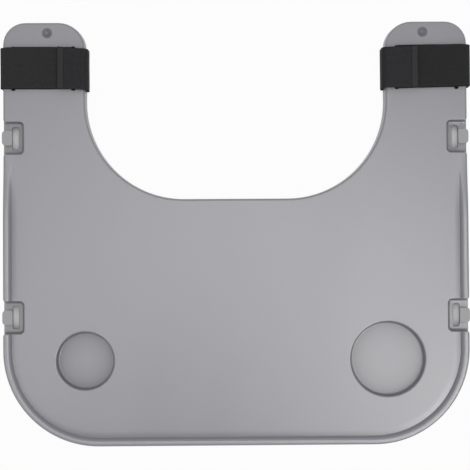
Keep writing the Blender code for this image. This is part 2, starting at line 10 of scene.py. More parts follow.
import bmesh
import bpy
import numpy as np
from mathutils import Matrix, Vector
from mathutils.geometry import delaunay_2d_cdt


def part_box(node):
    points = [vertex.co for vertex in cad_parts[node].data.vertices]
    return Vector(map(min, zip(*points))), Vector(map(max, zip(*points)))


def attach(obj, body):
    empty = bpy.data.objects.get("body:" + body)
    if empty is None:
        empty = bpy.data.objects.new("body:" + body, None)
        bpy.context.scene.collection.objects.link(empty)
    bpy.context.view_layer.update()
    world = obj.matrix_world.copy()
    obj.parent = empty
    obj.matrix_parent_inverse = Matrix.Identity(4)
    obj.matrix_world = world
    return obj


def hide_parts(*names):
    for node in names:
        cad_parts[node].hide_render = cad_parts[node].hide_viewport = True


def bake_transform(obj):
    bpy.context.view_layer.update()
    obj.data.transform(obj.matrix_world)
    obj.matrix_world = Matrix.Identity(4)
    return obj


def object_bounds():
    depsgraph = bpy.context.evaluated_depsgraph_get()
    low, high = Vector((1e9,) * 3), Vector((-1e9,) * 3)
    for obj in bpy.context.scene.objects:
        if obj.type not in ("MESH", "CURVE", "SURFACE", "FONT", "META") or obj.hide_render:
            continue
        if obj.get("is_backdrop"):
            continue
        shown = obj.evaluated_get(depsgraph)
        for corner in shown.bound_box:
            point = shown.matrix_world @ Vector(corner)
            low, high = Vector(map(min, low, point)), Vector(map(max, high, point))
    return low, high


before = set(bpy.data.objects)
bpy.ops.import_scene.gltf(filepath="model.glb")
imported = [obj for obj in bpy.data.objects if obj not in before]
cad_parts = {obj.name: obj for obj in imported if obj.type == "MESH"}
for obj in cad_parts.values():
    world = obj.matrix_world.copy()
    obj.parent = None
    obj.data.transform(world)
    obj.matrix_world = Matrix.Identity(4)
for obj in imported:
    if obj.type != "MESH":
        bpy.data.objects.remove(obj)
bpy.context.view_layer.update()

print("frame nodes:", len(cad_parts))

# %% [markdown]
# ## Sizes
# The outer sizes are read from the frame's own boxes. What a box can't say, such as a corner's
# radius or a wall, is a named length in metres, the same as on the real moulding. A place is
# worked out from those, so that the surfaces meet wherever they are made.

# %% Sizes of the tray
PANEL_LOW, PANEL_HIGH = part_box("tray_panel")
FRONT_Y, TIP_Y, EDGE_X = PANEL_LOW.y, PANEL_HIGH.y, PANEL_HIGH.x
SIDE_NAME = {-1: "left", 1: "right"}
ARM_WIDTH = 0.098
DECK_DEPTH = 0.291
CUTOUT_RADIUS = 0.115
FRONT_RADIUS = 0.113
TIP_OUTER_RADIUS = 0.027
TIP_INNER_RADIUS = 0.032
RIM_HEIGHT = 0.005
RIM_INSET = 0.0108
RIM_SLOPE_RUN = 0.0066
RIM_FOOT = -0.0006
RIM_POWER = 3.2
RIM_FOOT_ROUND = 0.0010
RIM_SWEEP = 0.0085
RIM_FULL_AT = 0.264
RIM_GONE_AT = 0.340
DECK = PANEL_HIGH.z - RIM_HEIGHT
DECK_WALL = 0.003
SKIRT_WALL = 0.0026
DRAFT = 0.001
EDGE_ROUND = 0.0025
FOOT_ROUND = 0.0005
CUTOUT_X = EDGE_X - ARM_WIDTH
CUTOUT_Y = FRONT_Y + DECK_DEPTH
UNDER = DECK - DECK_WALL
print(f"tray {2 * EDGE_X:.3f} x {TIP_Y - FRONT_Y:.3f} m, deck at {DECK:.4f}")

# %% Sizes of the wells, pockets and slots
WELL_RADIUS = {-1: 0.0357, 1: 0.0457}
WELL_X = 0.178
WELL_Y = FRONT_Y + 0.1006
WELL_DEPTH = 0.012
WELL_DRAFT = 0.0003
WELL_LIP = 0.0018
WELL_FOOT = 0.0024
WELL_WALL = 0.0025
POCKET_HALF = 0.019
POCKET_REACH = 0.0249
POCKET_CORNER = 0.005
POCKET_MOUTH = 0.003
POCKET_LIP = 0.0012
POCKET_FOOT = 0.0022
POCKET_DRAFT = 0.0007
POCKET_FLOOR = DECK - 0.007
POCKET_EDGE = 0.001
POCKETS_Y = {"front": FRONT_Y + 0.1518, "rear": TIP_Y - 0.1370}
BLOCK_MOUTH = 0.0004
BLOCK_UNDER = POCKET_FLOOR - 0.003
HOOK_SLOT = (0.0073, 0.0272, 0.0022)
HOOK_SLOT_X = EDGE_X - 0.0109 - HOOK_SLOT[0] / 2
STRAP_LOW, STRAP_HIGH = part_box("right_flap")
STRAP_Y = (STRAP_LOW.y + STRAP_HIGH.y) / 2
STRAP_WIDTH = STRAP_HIGH.y - STRAP_LOW.y
STRAP_SLOT = (0.005, STRAP_WIDTH + 0.0028, 0.00225)
STRAP_SLOTS_X = (CUTOUT_X + 0.0144, EDGE_X - 0.0133)
SLOT_LIP = 0.0006
NOTCH_HEIGHT = 0.0021
DIMPLE_RADIUS = 0.0059
DIMPLE_DEPTH = 0.005
DIMPLE_LIP = 0.0003
DIMPLE_POWER = 1.5
DIMPLE_WALL = 0.0021
DIMPLE_PLACE = (EDGE_X - ARM_WIDTH / 2 - 0.0039, TIP_Y - 0.0135)
print("pockets at y =", {k: round(v, 4) for k, v in POCKETS_Y.items()})

# %% [markdown]
# ## From arrays to a mesh
# A surface here is a grid of points worked out with numpy, or a flat fill between outlines
# that is then lifted by a height function. Blender's constrained triangulation makes the
# flat fills. The pieces of surface share their edge points, so welding them gives one
# closed skin, and a count of open edges tells us whether every seam really met.

# %% Tell inside from outside
CHUNK = 3000
TINY = 1e-9


def inside(points, loop):
    """Even-odd test: which of the (n, 2) points lie inside a closed outline."""
    a, b = loop, np.roll(loop, -1, 0)
    rise = np.where(b[:, 1] == a[:, 1], 1.0, b[:, 1] - a[:, 1])
    found = []
    for part in np.array_split(points, max(1, len(points) // CHUNK)):
        x, y = part[:, :1], part[:, 1:2]
        crosses = (a[:, 1] > y) != (b[:, 1] > y)
        at = a[:, 0] + (y - a[:, 1]) / rise * (b[:, 0] - a[:, 0])
        found.append((crosses & (x < at)).sum(1) % 2 == 1)
    return np.concatenate(found)


# %% A surface that collects grids, solids and fills
WELD = 0.00001
FILL_SCALE = 1000
FILL_MERGE = 1e-5


def placed(name, data):
    """A new object that holds some data, put into the scene."""
    obj = bpy.data.objects.new(name, data)
    bpy.context.scene.collection.objects.link(obj)
    return obj


class Surface:
    """Grids, capped solids and lifted fills that are welded into one mesh."""

    def __init__(self):
        self.points, self.faces, self.count = [], [], 0

    def _keep(self, points, faces):
        """Adds points, and faces that count from the first of them."""
        self.faces += [self.count + np.asarray(f) for f in faces]
        self.points.append(np.asarray(points, float))
        self.count += len(points)

    def grid(self, rows, closed=False):
        """Quads between neighbours of an (r, n, 3) array. A closed grid joins its last
        column to its first."""
        rows = np.asarray(rows, float)
        r, n = rows.shape[:2]
        index = np.arange(r * n).reshape(r, n)
        if closed:
            index = np.hstack([index, index[:, :1]])
        quads = np.stack([index[:-1, :-1], index[:-1, 1:], index[1:, 1:], index[1:, :-1]], -1)
        self._keep(rows.reshape(-1, 3), list(quads.reshape(-1, 4)))

    def solid(self, rings):
        """A closed body through an (r, n, 3) array of rings, with its two ends capped."""
        first, (r, n) = self.count, np.shape(rings)[:2]
        self.grid(rings, closed=True)
        self.faces += [first + np.arange(n), first + (r - 1) * n + np.arange(n)]

    def block(self, low, high):
        """A box between two corners."""
        x, y, z = zip(low, high)
        loop = [(x[0], y[0]), (x[1], y[0]), (x[1], y[1]), (x[0], y[1])]
        self.solid([[(*p, h) for p in loop] for h in z])

    def fill(self, rims, guides, height):
        """Faces inside the first of the closed (n, 3) rims and outside the others, which keep
        to the (n, 2) guide lines. height(points) lifts every point that is on no rim."""
        lines = [np.asarray(rim)[:, :2] for rim in rims] + list(guides)
        starts = np.cumsum([0] + [len(line) for line in lines])
        edges = []
        for k, line in enumerate(lines):
            i = starts[k] + np.arange(len(line))
            pairs = np.stack([i, np.roll(i, -1)], 1)
            edges.append(pairs if k < len(rims) else pairs[:-1])
        flat = np.concatenate(lines) * FILL_SCALE
        made = delaunay_2d_cdt([Vector(p) for p in flat.tolist()],
                               np.concatenate(edges).tolist(), [], 0, FILL_MERGE, True)
        points = np.array([v[:] for v in made[0]]) / FILL_SCALE
        source = np.array([min(ids) if ids else -1 for ids in made[3]])
        tris = np.array(made[2])
        middle = points[tris].mean(1)
        keep = inside(middle, lines[0])
        for hole in lines[1:len(rims)]:
            keep &= ~inside(middle, hole)
        used, tris = np.unique(tris[keep], return_inverse=True)
        points, source = points[used], source[used]
        lifted = np.column_stack([points, height(points)])
        on_rim = (source >= 0) & (source < starts[len(rims)])
        lifted[on_rim] = np.concatenate(rims)[source[on_rim]]
        self._keep(lifted, list(tris.reshape(-1, 3)))

    def build(self, name, coords=None):
        """The welded mesh as an object, with its faces turned outwards. coords, a pair for
        each point, becomes a UV map named cloth."""
        mesh = bpy.data.meshes.new(name)
        mesh.from_pydata(np.concatenate(self.points).tolist(), [],
                         [face.tolist() for face in self.faces])
        if coords is not None:
            places = np.asarray(coords, np.float32).reshape(-1, 2)[np.concatenate(self.faces)]
            mesh.uv_layers.new(name="cloth").data.foreach_set("uv", places.ravel())
        bm = bmesh.new()
        bm.from_mesh(mesh)
        bmesh.ops.remove_doubles(bm, verts=bm.verts, dist=WELD)
        bmesh.ops.recalc_face_normals(bm, faces=bm.faces)
        open_edges = sum(1 for e in bm.edges if len(e.link_faces) != 2)
        bm.to_mesh(mesh)
        bm.free()
        print(f"{name}: {len(mesh.polygons)} faces, {open_edges} open edges")
        return placed(name, mesh)


def shade(obj, degrees=35):
    """Smooth shading with corners sharper than an angle kept, weighted so that flats stay flat."""
    obj.data.shade_smooth()
    obj.data.set_sharp_from_angle(angle=math.radians(degrees))
    weighted = obj.modifiers.new("even_shading", "WEIGHTED_NORMAL")
    weighted.keep_sharp = True
    return obj


# %% [markdown]
# ## Walking the outline
# The tray's edge is made of straight runs and arcs, so we describe it the way one would
# walk it: so far ahead, then a turn of a given radius. The walk returns points and their
# left-hand normals, which point into the tray. Any parallel line follows by moving each
# point along its normal, and a pocket is a detour from the same line.

# %% Walk a line of runs and turns
RUN_STEP = 0.006
FINE_STEP = 0.0009
LARGE_TURN = 30
SMALL_TURN = 8


def walk(start, heading, moves):
    """Points and left normals of a line. A move (length, 0, step) runs straight ahead, and
    (radius, angle, count) turns by an angle in degrees, to the left if it is positive. A turn's
    points are c - s r n(a), with n the normal at heading a and s the side of its centre c."""
    at, angle = np.array(start, float), math.radians(heading)
    normal = np.array([-math.sin(angle), math.cos(angle)])
    points, normals = [at[None]], [normal[None]]
    for size, turn, step in moves:
        if turn:
            around = angle + math.radians(turn) * np.linspace(0, 1, step + 1)[1:]
            n = np.stack([-np.sin(around), np.cos(around)], 1)
            points.append(at + math.copysign(size, turn) * (normal - n))
            normals.append(n)
            angle += math.radians(turn)
            normal = n[-1]
        else:
            t = np.linspace(0, 1, max(1, round(size / step)) + 1)[1:, None]
            points.append(at + t * size * np.array([normal[1], -normal[0]]))
            normals.append(np.repeat(normal[None], len(t), 0))
        at = points[-1][-1]
    return np.concatenate(points), np.concatenate(normals)


# %% The foot's outline in sections
SPAN = POCKET_HALF + POCKET_MOUTH
BRINK = 0.0001


def section_moves():
    """The tray's foot outline, anticlockwise from the front's middle, as a list of moves for
    each section and whether a pocket opens there."""
    ahead = lambda length: [(length, 0, RUN_STEP)]
    front, rear = POCKETS_Y["front"], POCKETS_Y["rear"]
    notch = STRAP_SLOT[1] / 2
    strap = [(BRINK, 0, BRINK), (2 * notch, 0, RUN_STEP), (BRINK, 0, BRINK)]
    half_front = ahead(EDGE_X - FRONT_RADIUS)
    front_turn = [(FRONT_RADIUS, 90, LARGE_TURN)]
    to_front = ahead(front - SPAN - FRONT_Y - FRONT_RADIUS)
    between = ahead(rear - front - 2 * SPAN)
    up = ahead(STRAP_Y - notch - BRINK - rear - SPAN) + strap
    up += ahead(TIP_Y - TIP_OUTER_RADIUS - STRAP_Y - notch - BRINK)
    past = STRAP_Y + notch + TIP_INNER_RADIUS - TIP_Y
    part = math.degrees(math.asin(past / TIP_INNER_RADIUS))
    tip = [(TIP_OUTER_RADIUS, 90, SMALL_TURN)]
    tip += ahead(ARM_WIDTH - TIP_OUTER_RADIUS - TIP_INNER_RADIUS)
    tip += [(TIP_INNER_RADIUS, turn, SMALL_TURN) for turn in (90 - part, part)]
    down = [(2 * notch - past, 0, RUN_STEP), (BRINK, 0, BRINK)]
    down += ahead(STRAP_Y - notch - BRINK - CUTOUT_Y - CUTOUT_RADIUS)
    arm = up + tip + down + [(CUTOUT_RADIUS, -90, LARGE_TURN)]
    middle = ahead(2 * (CUTOUT_X - CUTOUT_RADIUS))
    pocket = ahead(2 * SPAN)
    return [(half_front + front_turn + to_front, False), (pocket, True), (between, False),
            (pocket, True), (arm + middle + arm[::-1], False), (pocket, True),
            (between, False), (pocket, True), (to_front + front_turn + half_front, False)]


def foot_sections():
    """(points, normals, opens) of every section of the foot's outline."""
    at, heading, sections = (0.0, FRONT_Y), 0.0, []
    for moves, opens in section_moves():
        sections.append((*walk(at, heading, moves), opens))
        at = sections[-1][0][-1]
        heading += sum(turn for _, turn, _ in moves)
    return sections


def ring(parts):
    """One closed loop from parts that each end where the next one starts."""
    return np.concatenate([part[:-1] for part in parts])


FOOT = foot_sections()
print("foot line:", sum(len(s[0]) for s in FOOT), "stations, closing gap",
      float(np.abs(FOOT[-1][0][-1] - FOOT[0][0][0]).max()))

# %% [markdown]
# ## Heights of the moulded sheet
# Seen from above the tray is a height field nearly everywhere: a flat deck, and a border that
# rises by 5 mm and fades out along the sides. Its inner slope falls ever more steeply to a
# foot just under the deck, and a shallow sweep carries it back up to the deck. The rounded
# outer edge is added as its own strip of quads, because a height field can't turn down a wall.

# %% Border and lip heights
def smooth_step(t):
    """3t^2 - 2t^3, which leaves 0 and reaches 1 without a kink."""
    return t * t * (3 - 2 * t)


def outer_distance(points):
    """Distance inside the front and side edges, their round corners included: R - |q| in a
    corner, where q runs from the corner's centre."""
    x, y = np.abs(points[:, 0]), points[:, 1]
    q = np.stack([x - (EDGE_X - FRONT_RADIUS), FRONT_Y + FRONT_RADIUS - y], 1)
    straight = np.minimum(EDGE_X - x, y - FRONT_Y)
    return np.where((q > 0).all(1), FRONT_RADIUS - np.hypot(q[:, 0], q[:, 1]), straight)


def rim_share(points):
    """How much of the border stands at (n, 2) points: 1 at the front, 0 along the arms and
    round the cut-out, with a smooth step along the sides."""
    t = np.clip((FRONT_Y + RIM_GONE_AT - points[:, 1]) / (RIM_GONE_AT - RIM_FULL_AT), 0, 1)
    return smooth_step(t) * (outer_distance(points) < 2 * RIM_INSET)


def smooth_min(a, b, k):
    """min(a, b) less max(k - |a - b|, 0)^2 / 4k, which rounds the corner between them."""
    k = np.maximum(k, TINY)
    return np.minimum(a, b) - np.maximum(k - np.abs(a - b), 0) ** 2 / (4 * k)


def rim_height(points, shift=0):
    """Height of the border above the deck, with its profile moved outwards by shift. From the
    crest H it falls as H - (H - F) t^p to a foot whose height F is below the deck's, and from
    there it sweeps up to the deck as F (1 - u)^2. A smooth maximum rounds the foot."""
    past = outer_distance(points) + shift - RIM_INSET
    t = np.maximum(past, -RIM_SLOPE_RUN) / RIM_SLOPE_RUN + 1
    u = np.clip(past, -RIM_SLOPE_RUN, RIM_SWEEP) / RIM_SWEEP
    fall = RIM_HEIGHT - (RIM_HEIGHT - RIM_FOOT) * t ** RIM_POWER
    return -smooth_min(-fall, -RIM_FOOT * (1 - u) ** 2, RIM_FOOT_ROUND) * rim_share(points)


def top_height(points):
    """Height of the tray's upper face at (n, 2) points, its rounded edge left out."""
    return DECK + rim_height(points)


MITRE = DECK_WALL * math.tan(math.atan2(RIM_HEIGHT, RIM_SLOPE_RUN) / 2)


def under_height(points):
    """Height of the face under the deck: the same sheet, one wall lower."""
    return UNDER + rim_height(points, MITRE)


def quarter(count):
    """(run, fall) shares along a quarter circle, from level to plumb."""
    a = np.linspace(0, math.pi / 2, count + 1)
    return np.stack([np.sin(a), 1 - np.cos(a)], 1)


# %% Lines with the pockets in them
LIP_STEPS = 6
SMALL_STEPS = 3
FILLET_STEPS = 4
FADE_TURN = np.linspace(1, 0, SMALL_TURN + 1)


def detour(section, w, reach, half, corner, mouth):
    """The line round a pocket, from and to the section's line moved in by w."""
    base, normals, _ = section
    tangent = (normals[0][1], -normals[0][0])
    into = [(mouth, 90, SMALL_TURN), (reach - w - mouth - corner, 0, FINE_STEP),
            (corner, -90, SMALL_TURN)]
    moves = into + [(2 * (half - corner), 0, RUN_STEP)] + into[::-1]
    return walk(base[0] + normals[0] * w, math.degrees(math.atan2(tangent[1], tangent[0])), moves)


def with_pockets(w, *sizes):
    """The sections' lines moved in by w, with a detour where a pocket opens. Each comes with
    its normals and a share that is 1 on the tray's edge and 0 inside a pocket."""
    lines = []
    for section in FOOT:
        base, normals, opens = section
        if opens:
            points, turned = detour(section, w, *sizes)
            share = np.zeros(len(points))
            share[:len(FADE_TURN)] = FADE_TURN
            share[-len(FADE_TURN):] = FADE_TURN[::-1]
            lines.append((points, turned, smooth_step(share)))
        else:
            lines.append((base + normals * w, normals, np.ones(len(base))))
    return lines


TOP = with_pockets(DRAFT, POCKET_REACH, POCKET_HALF, POCKET_CORNER, POCKET_MOUTH)
INNER = SKIRT_WALL + DRAFT
UNDERSIDE = with_pockets(INNER, POCKET_REACH + SKIRT_WALL, POCKET_HALF + SKIRT_WALL,
                         POCKET_CORNER + SKIRT_WALL, BLOCK_MOUTH)
print("upper edge line:", sum(len(line[0]) for line in TOP), "stations")

# %% [markdown]
# ## The moulded tray
# A real tray like this is injected as one sheet of even thickness, turned down into a skirt
# and stiffened by ribs. We build it the same way, skin by skin: upper face, rounded edge,
# outer wall, foot, inner wall and the face under the deck. Booleans on a plain block would
# be quicker to write, but they can't round an edge that fades, or keep the border's slope.

# %% Upper edge, outer and inner walls
tray = Surface()
SPAN_ROWS = np.array([0, 0.5, 1])[:, None, None]
OUTER_LOW = POCKET_FLOOR - POCKET_EDGE


def raised(points, z):
    """(n, 2) points at a height, or at a height each."""
    return np.column_stack([points, np.broadcast_to(z, len(points))])


def outer_inset(z, base):
    """The outer wall leans in from nothing at the foot to the whole draft where the edge's
    rounding starts."""
    return DRAFT * z / (DECK + RIM_HEIGHT * rim_share(base) - EDGE_ROUND)


def inner_inset(z, base):
    """The same for the wall inside the skirt, up to the face under the deck."""
    return SKIRT_WALL + DRAFT * z / (UNDER + RIM_HEIGHT * rim_share(base))


def edge_strip(line):
    """The rounded upper edge: quarter-circle rows from the upper face to the wall's top."""
    points, normals, share = line
    radius = POCKET_LIP + (EDGE_ROUND - POCKET_LIP) * share
    rows = []
    for run, fall in quarter(LIP_STEPS):
        moved = points + normals * (radius * (1 - run))[:, None]
        rows.append(raised(moved, top_height(moved) - radius * fall))
    return np.array(rows)


def on_wall(section, z, inset):
    """The section's line at height z, moved in as far as the wall leans there."""
    base, normals, _ = section
    z = np.broadcast_to(z, len(base))
    return raised(base + normals * inset(z, base)[:, None], z)


top_strips = [edge_strip(line) for line in TOP]
for section, strip in zip(FOOT, top_strips):
    tray.grid(strip)
    if not section[2]:
        low = on_wall(section, OUTER_LOW, outer_inset)
        tray.grid(strip[-1] + (low - strip[-1]) * SPAN_ROWS)
        top = on_wall(section, UNDER + RIM_HEIGHT * rim_share(section[0]), inner_inset)
        low = on_wall(section, BLOCK_UNDER, inner_inset)
        tray.grid(low * (1 - SPAN_ROWS) + top * SPAN_ROWS)

# %% The skirt down to its foot, with the notches that let the straps pass
def foot_height(base):
    """0, or the notch's height where a strap passes under an arm's edge."""
    beside = (base[:, 1] > STRAP_Y - STRAP_SLOT[1] / 2 - BRINK / 2)
    beside &= base[:, 1] < STRAP_Y + STRAP_SLOT[1] / 2 + BRINK / 2
    return NOTCH_HEIGHT * beside


def skirt(section):
    """Rows from the outer wall's lower line, round the foot and up to the inner wall's."""
    base, normals, _ = section
    foot = foot_height(base)
    rows = [on_wall(section, OUTER_LOW, outer_inset),
            on_wall(section, foot + FOOT_ROUND, outer_inset)]
    arc = quarter(SMALL_STEPS)[1:]
    for inset, inwards, turn in ((outer_inset, 1, arc), (inner_inset, -1, arc[::-1])):
        for run, fall in turn:
            w = inset(foot, base) + inwards * FOOT_ROUND * fall
            rows.append(raised(base + normals * w[:, None], foot + FOOT_ROUND * (1 - run)))
    rows += [on_wall(section, foot + FOOT_ROUND, inner_inset),
             on_wall(section, BLOCK_UNDER, inner_inset)]
    return np.array(rows)


for section in FOOT:
    tray.grid(skirt(section))

# %% [markdown]
# ## Edge pockets
# Each pocket is a shallow bay that opens through the tray's side, with a slot behind the bar
# that carries the hook. Its walls follow the detour line down to a small fillet, and its
# floor is a fill with a rounded outer edge. Under the deck a block of the same shape, one
# wall larger, keeps the sheet's thickness.

# %% Slots, wells and dimples as drawn or turned holes
SLOT_TURN = 6
WELL_COUNT = 96
DIMPLE_COUNT = 48


def rounded_rectangle(low, high, radii, count):
    """Points round a rectangle whose corners have their own radii, anticlockwise from the far
    right one: c + r (cos a, sin a) round each corner's centre c."""
    a = np.linspace(0, math.pi / 2, count + 1)
    parts = []
    for k, (sx, sy) in enumerate([(1, 1), (-1, 1), (-1, -1), (1, -1)]):
        r, turn = radii[k], a + k * math.pi / 2
        cx = high[0] - r if sx > 0 else low[0] + r
        cy = high[1] - r if sy > 0 else low[1] + r
        parts.append(np.stack([cx + r * np.cos(turn), cy + r * np.sin(turn)], 1))
    return np.concatenate(parts)


def slot(x, y, sizes, top, bottom):
    """A through slot whose two rims are rounded. Returns its upper and lower rim."""
    width, length, radius = sizes
    rows = []
    for run, fall in quarter(SMALL_STEPS)[::-1]:
        out = SLOT_LIP * (1 - run)
        dx, dy = width / 2 + out, length / 2 + out
        line = rounded_rectangle((x - dx, y - dy), (x + dx, y + dy), [radius + out] * 4, SLOT_TURN)
        rows.insert(0, raised(line, top - SLOT_LIP * fall))
        rows.append(raised(line, bottom + SLOT_LIP * fall))
    tray.grid(rows, closed=True)
    return rows[0], rows[-1]


def turned(centre, profile, count):
    """A surface of revolution, p = centre + (r cos a, r sin a, z), through (r, z) pairs.
    Returns its first row, which is the rim that a fill joins."""
    a = np.linspace(0, math.tau, count, endpoint=False)
    rows = [np.stack([centre[0] + r * np.cos(a), centre[1] + r * np.sin(a),
                      np.full(count, z)], 1) for r, z in profile]
    tray.grid(rows, closed=True)
    return rows[0]


# %% Pocket floors and the blocks under them
FLOOR_GUIDES = (0.13, 0.5, 1.0)
GUIDE_COUNT = 9
EDGE_CLEAR = 0.0026
SEAM_CLEAR = 0.00004


def lip(d, r):
    """How far a rounded edge has dropped at a distance d inside it: r - sqrt(r^2 - (r-d)^2)."""
    d = np.clip(d, 0, r)
    return r - np.sqrt(np.maximum(r * r - (r - d) ** 2, 0))


def bay(section, line, top, foot, low, inset, edge):
    """Walls of a pocket or block from its upper line down to a fillet of radius foot, which
    stands POCKET_DRAFT inside that line. The floor's outer edge drops by a rounding. Returns
    the floor's rim, guide lines for its fill, its height function and its slot's place."""
    points, normals, share = line
    outward = -section[1][0]
    side_x = abs(section[0][0][0])
    lean = inset(low - edge, section[0][:1])[0]
    start_inset = side_x - abs(points[0][0])
    draft = (POCKET_DRAFT if foot else 0) * (1 - share)
    reach = np.full(len(points), side_x - lean - SEAM_CLEAR)
    reach[[0, -1]] += SEAM_CLEAR

    def held(p):
        """Points kept just inside the line of the tray's side, so that no rim crosses it."""
        return np.column_stack([np.clip(p[:, 0], -reach, reach), p[:, 1]])

    foot_points = held(points + outward * ((start_inset - lean) * share)[:, None]
                       - normals * draft[:, None])
    fillet = foot * (1 - share)
    floor = lambda p: low - lip(side_x - np.abs(p[:, 0]) - lean, edge)
    ends = held(foot_points - normals * fillet[:, None])
    base = floor(ends)
    wall_foot = raised(foot_points, base + fillet)
    rows = list(top + (wall_foot - top) * SPAN_ROWS)
    if foot:
        for run, fall in quarter(FILLET_STEPS)[1:]:
            moved = held(foot_points - normals * (fillet * fall)[:, None])
            rows.append(raised(moved, base + fillet * (1 - run)))
    tray.grid(rows)
    closing = on_wall(section, low - edge, inset)[::-1][1:-1]
    side = math.copysign(1, section[0][0][0])
    middle = section[0][:, 1].mean()
    guides = []
    for t in FLOOR_GUIDES if edge else ():
        w = lean + edge * t
        inner = POCKET_HALF + POCKET_MOUTH - EDGE_CLEAR - np.sqrt(
            max(POCKET_MOUTH ** 2 - max(POCKET_MOUTH - w, 0) ** 2, 0))
        y = middle + np.linspace(-inner, inner, GUIDE_COUNT)
        guides.append(np.column_stack([np.full(GUIDE_COUNT, side * (side_x - w)), y]))
    return np.concatenate([rows[-1], closing]), guides, floor, (side * HOOK_SLOT_X, middle)


for section, line, strip, under in zip(FOOT, TOP, top_strips, UNDERSIDE):
    if not section[2]:
        continue
    rim, guides, floor, place = bay(section, line, strip[-1], POCKET_FOOT, POCKET_FLOOR,
                                    outer_inset, POCKET_EDGE)
    upper, lower = slot(*place, HOOK_SLOT, POCKET_FLOOR, BLOCK_UNDER)
    tray.fill([rim, upper], guides, floor)
    block_top = raised(under[0], under_height(under[0]))
    rim, guides, floor, _ = bay(section, under, block_top, 0, BLOCK_UNDER, inner_inset, 0)
    tray.fill([rim, lower], guides, floor)

# %% [markdown]
# ## Deck, wells and ribs
# The cup wells, dimples and strap slots are holes in the deck's fill, each closed by its own
# turned or drawn surface. Guide lines along the border give the fill enough points for the
# slope to be smooth. The ribs are plain thin blocks that end inside the skirt.

# %% Holes in the deck
BED_ROWS = (0.98, 0.6, 0.3, 0)
BOWL_ROWS = np.linspace(0.97, 0, 16) ** 1.3
top_rims, under_rims = [], []
for side, radius in WELL_RADIUS.items():
    wall = radius - WELL_LIP
    bed = DECK - WELL_DEPTH
    arc = quarter(LIP_STEPS)
    profile = [(radius - WELL_LIP * run, DECK - WELL_LIP * fall) for run, fall in arc]
    foot = wall - WELL_DRAFT - WELL_FOOT
    profile += [(foot + WELL_FOOT * (1 - fall), bed + WELL_FOOT * (1 - run)) for run, fall in arc]
    profile += [(foot * t, bed) for t in BED_ROWS]
    cup, under = wall + WELL_WALL, bed - WELL_WALL
    place = (side * WELL_X, WELL_Y)
    top_rims.append(turned(place, profile, WELL_COUNT))
    profile = [(cup, UNDER), (cup, bed), (wall, under), (0, under)]
    under_rims.append(turned(place, profile, WELL_COUNT))
    profile = [(DIMPLE_RADIUS + DIMPLE_LIP * (1 - run), DECK - DIMPLE_LIP * fall)
               for run, fall in quarter(SMALL_STEPS)]
    bowl = DIMPLE_DEPTH - DIMPLE_LIP
    profile += [(DIMPLE_RADIUS * t, DECK - DIMPLE_LIP - bowl * (1 - t ** DIMPLE_POWER))
                for t in BOWL_ROWS]
    cup, under = DIMPLE_RADIUS + DIMPLE_WALL, DECK - DIMPLE_DEPTH - DIMPLE_WALL
    place = (side * DIMPLE_PLACE[0], DIMPLE_PLACE[1])
    top_rims.append(turned(place, profile, DIMPLE_COUNT))
    under_rims.append(turned(place, [(cup, UNDER), (cup, under), (0, under)], DIMPLE_COUNT))
    for x in STRAP_SLOTS_X:
        upper, lower = slot(side * x, STRAP_Y, STRAP_SLOT, DECK, UNDER)
        top_rims.append(upper)
        under_rims.append(lower)
print("holes in the deck:", len(top_rims))

# %% The deck's two faces
CREST_END = RIM_INSET - RIM_SLOPE_RUN
FOOT_BAND = 0.0006
SLOPE_COUNT, FOOT_COUNT, SWEEP_COUNT = 8, 6, 9
SLOPE_LINES = np.concatenate([
    np.linspace(CREST_END, RIM_INSET - FOOT_BAND, SLOPE_COUNT),
    np.linspace(RIM_INSET - FOOT_BAND, RIM_INSET + FOOT_BAND, FOOT_COUNT)[1:],
    np.linspace(RIM_INSET + FOOT_BAND, RIM_INSET + RIM_SWEEP, SWEEP_COUNT)[1:]])


def slope_guides(first):
    """Lines parallel to the edge along the border's slope, clear of the pockets."""
    lines = []
    for base, normals, opens in FOOT:
        if opens or rim_share(base).max() == 0:
            continue
        lines += [base + normals * w for w in SLOPE_LINES if w > first]
    return lines


tray.fill([ring([strip[0] for strip in top_strips])] + top_rims,
          slope_guides(DRAFT + EDGE_ROUND), top_height)
under_line = ring([raised(line[0], under_height(line[0])) for line in UNDERSIDE])
tray.fill([under_line] + under_rims, slope_guides(INNER), under_height)

# %% Ribs under the deck
RIB = 0.0018
RIB_FOOT = 0.0005
RIB_TOP = UNDER + 0.0003
CROSS_RIBS = 8
LENGTH_RIBS = 5
STRAP_GAP = 0.0006
SEAT = INNER / 2
SEAT_LINE = ring([s[0] + s[1] * SEAT for s in FOOT])
ROUNDS = []
for side, radius in WELL_RADIUS.items():
    ROUNDS += [((side * WELL_X, WELL_Y), radius),
               ((side * DIMPLE_PLACE[0], DIMPLE_PLACE[1]), DIMPLE_RADIUS + DIMPLE_WALL / 2)]


def clear_runs(value, axis):
    """The stretches of a straight line at x or y = value that lie inside the tray and
    outside the cups under the wells and dimples."""
    a, b = SEAT_LINE, np.roll(SEAT_LINE, -1, 0)
    hit = (a[:, axis] > value) != (b[:, axis] > value)
    t = (value - a[hit, axis]) / (b[hit, axis] - a[hit, axis])
    ends = list(np.sort(a[hit, 1 - axis] + t * (b[hit, 1 - axis] - a[hit, 1 - axis])))
    for middle, radius in ROUNDS:
        away = abs(value - middle[axis])
        if away < radius:
            half = math.sqrt(radius ** 2 - away ** 2)
            ends += [middle[1 - axis] - half, middle[1 - axis] + half]
    ends.sort()
    return list(zip(ends[::2], ends[1::2]))


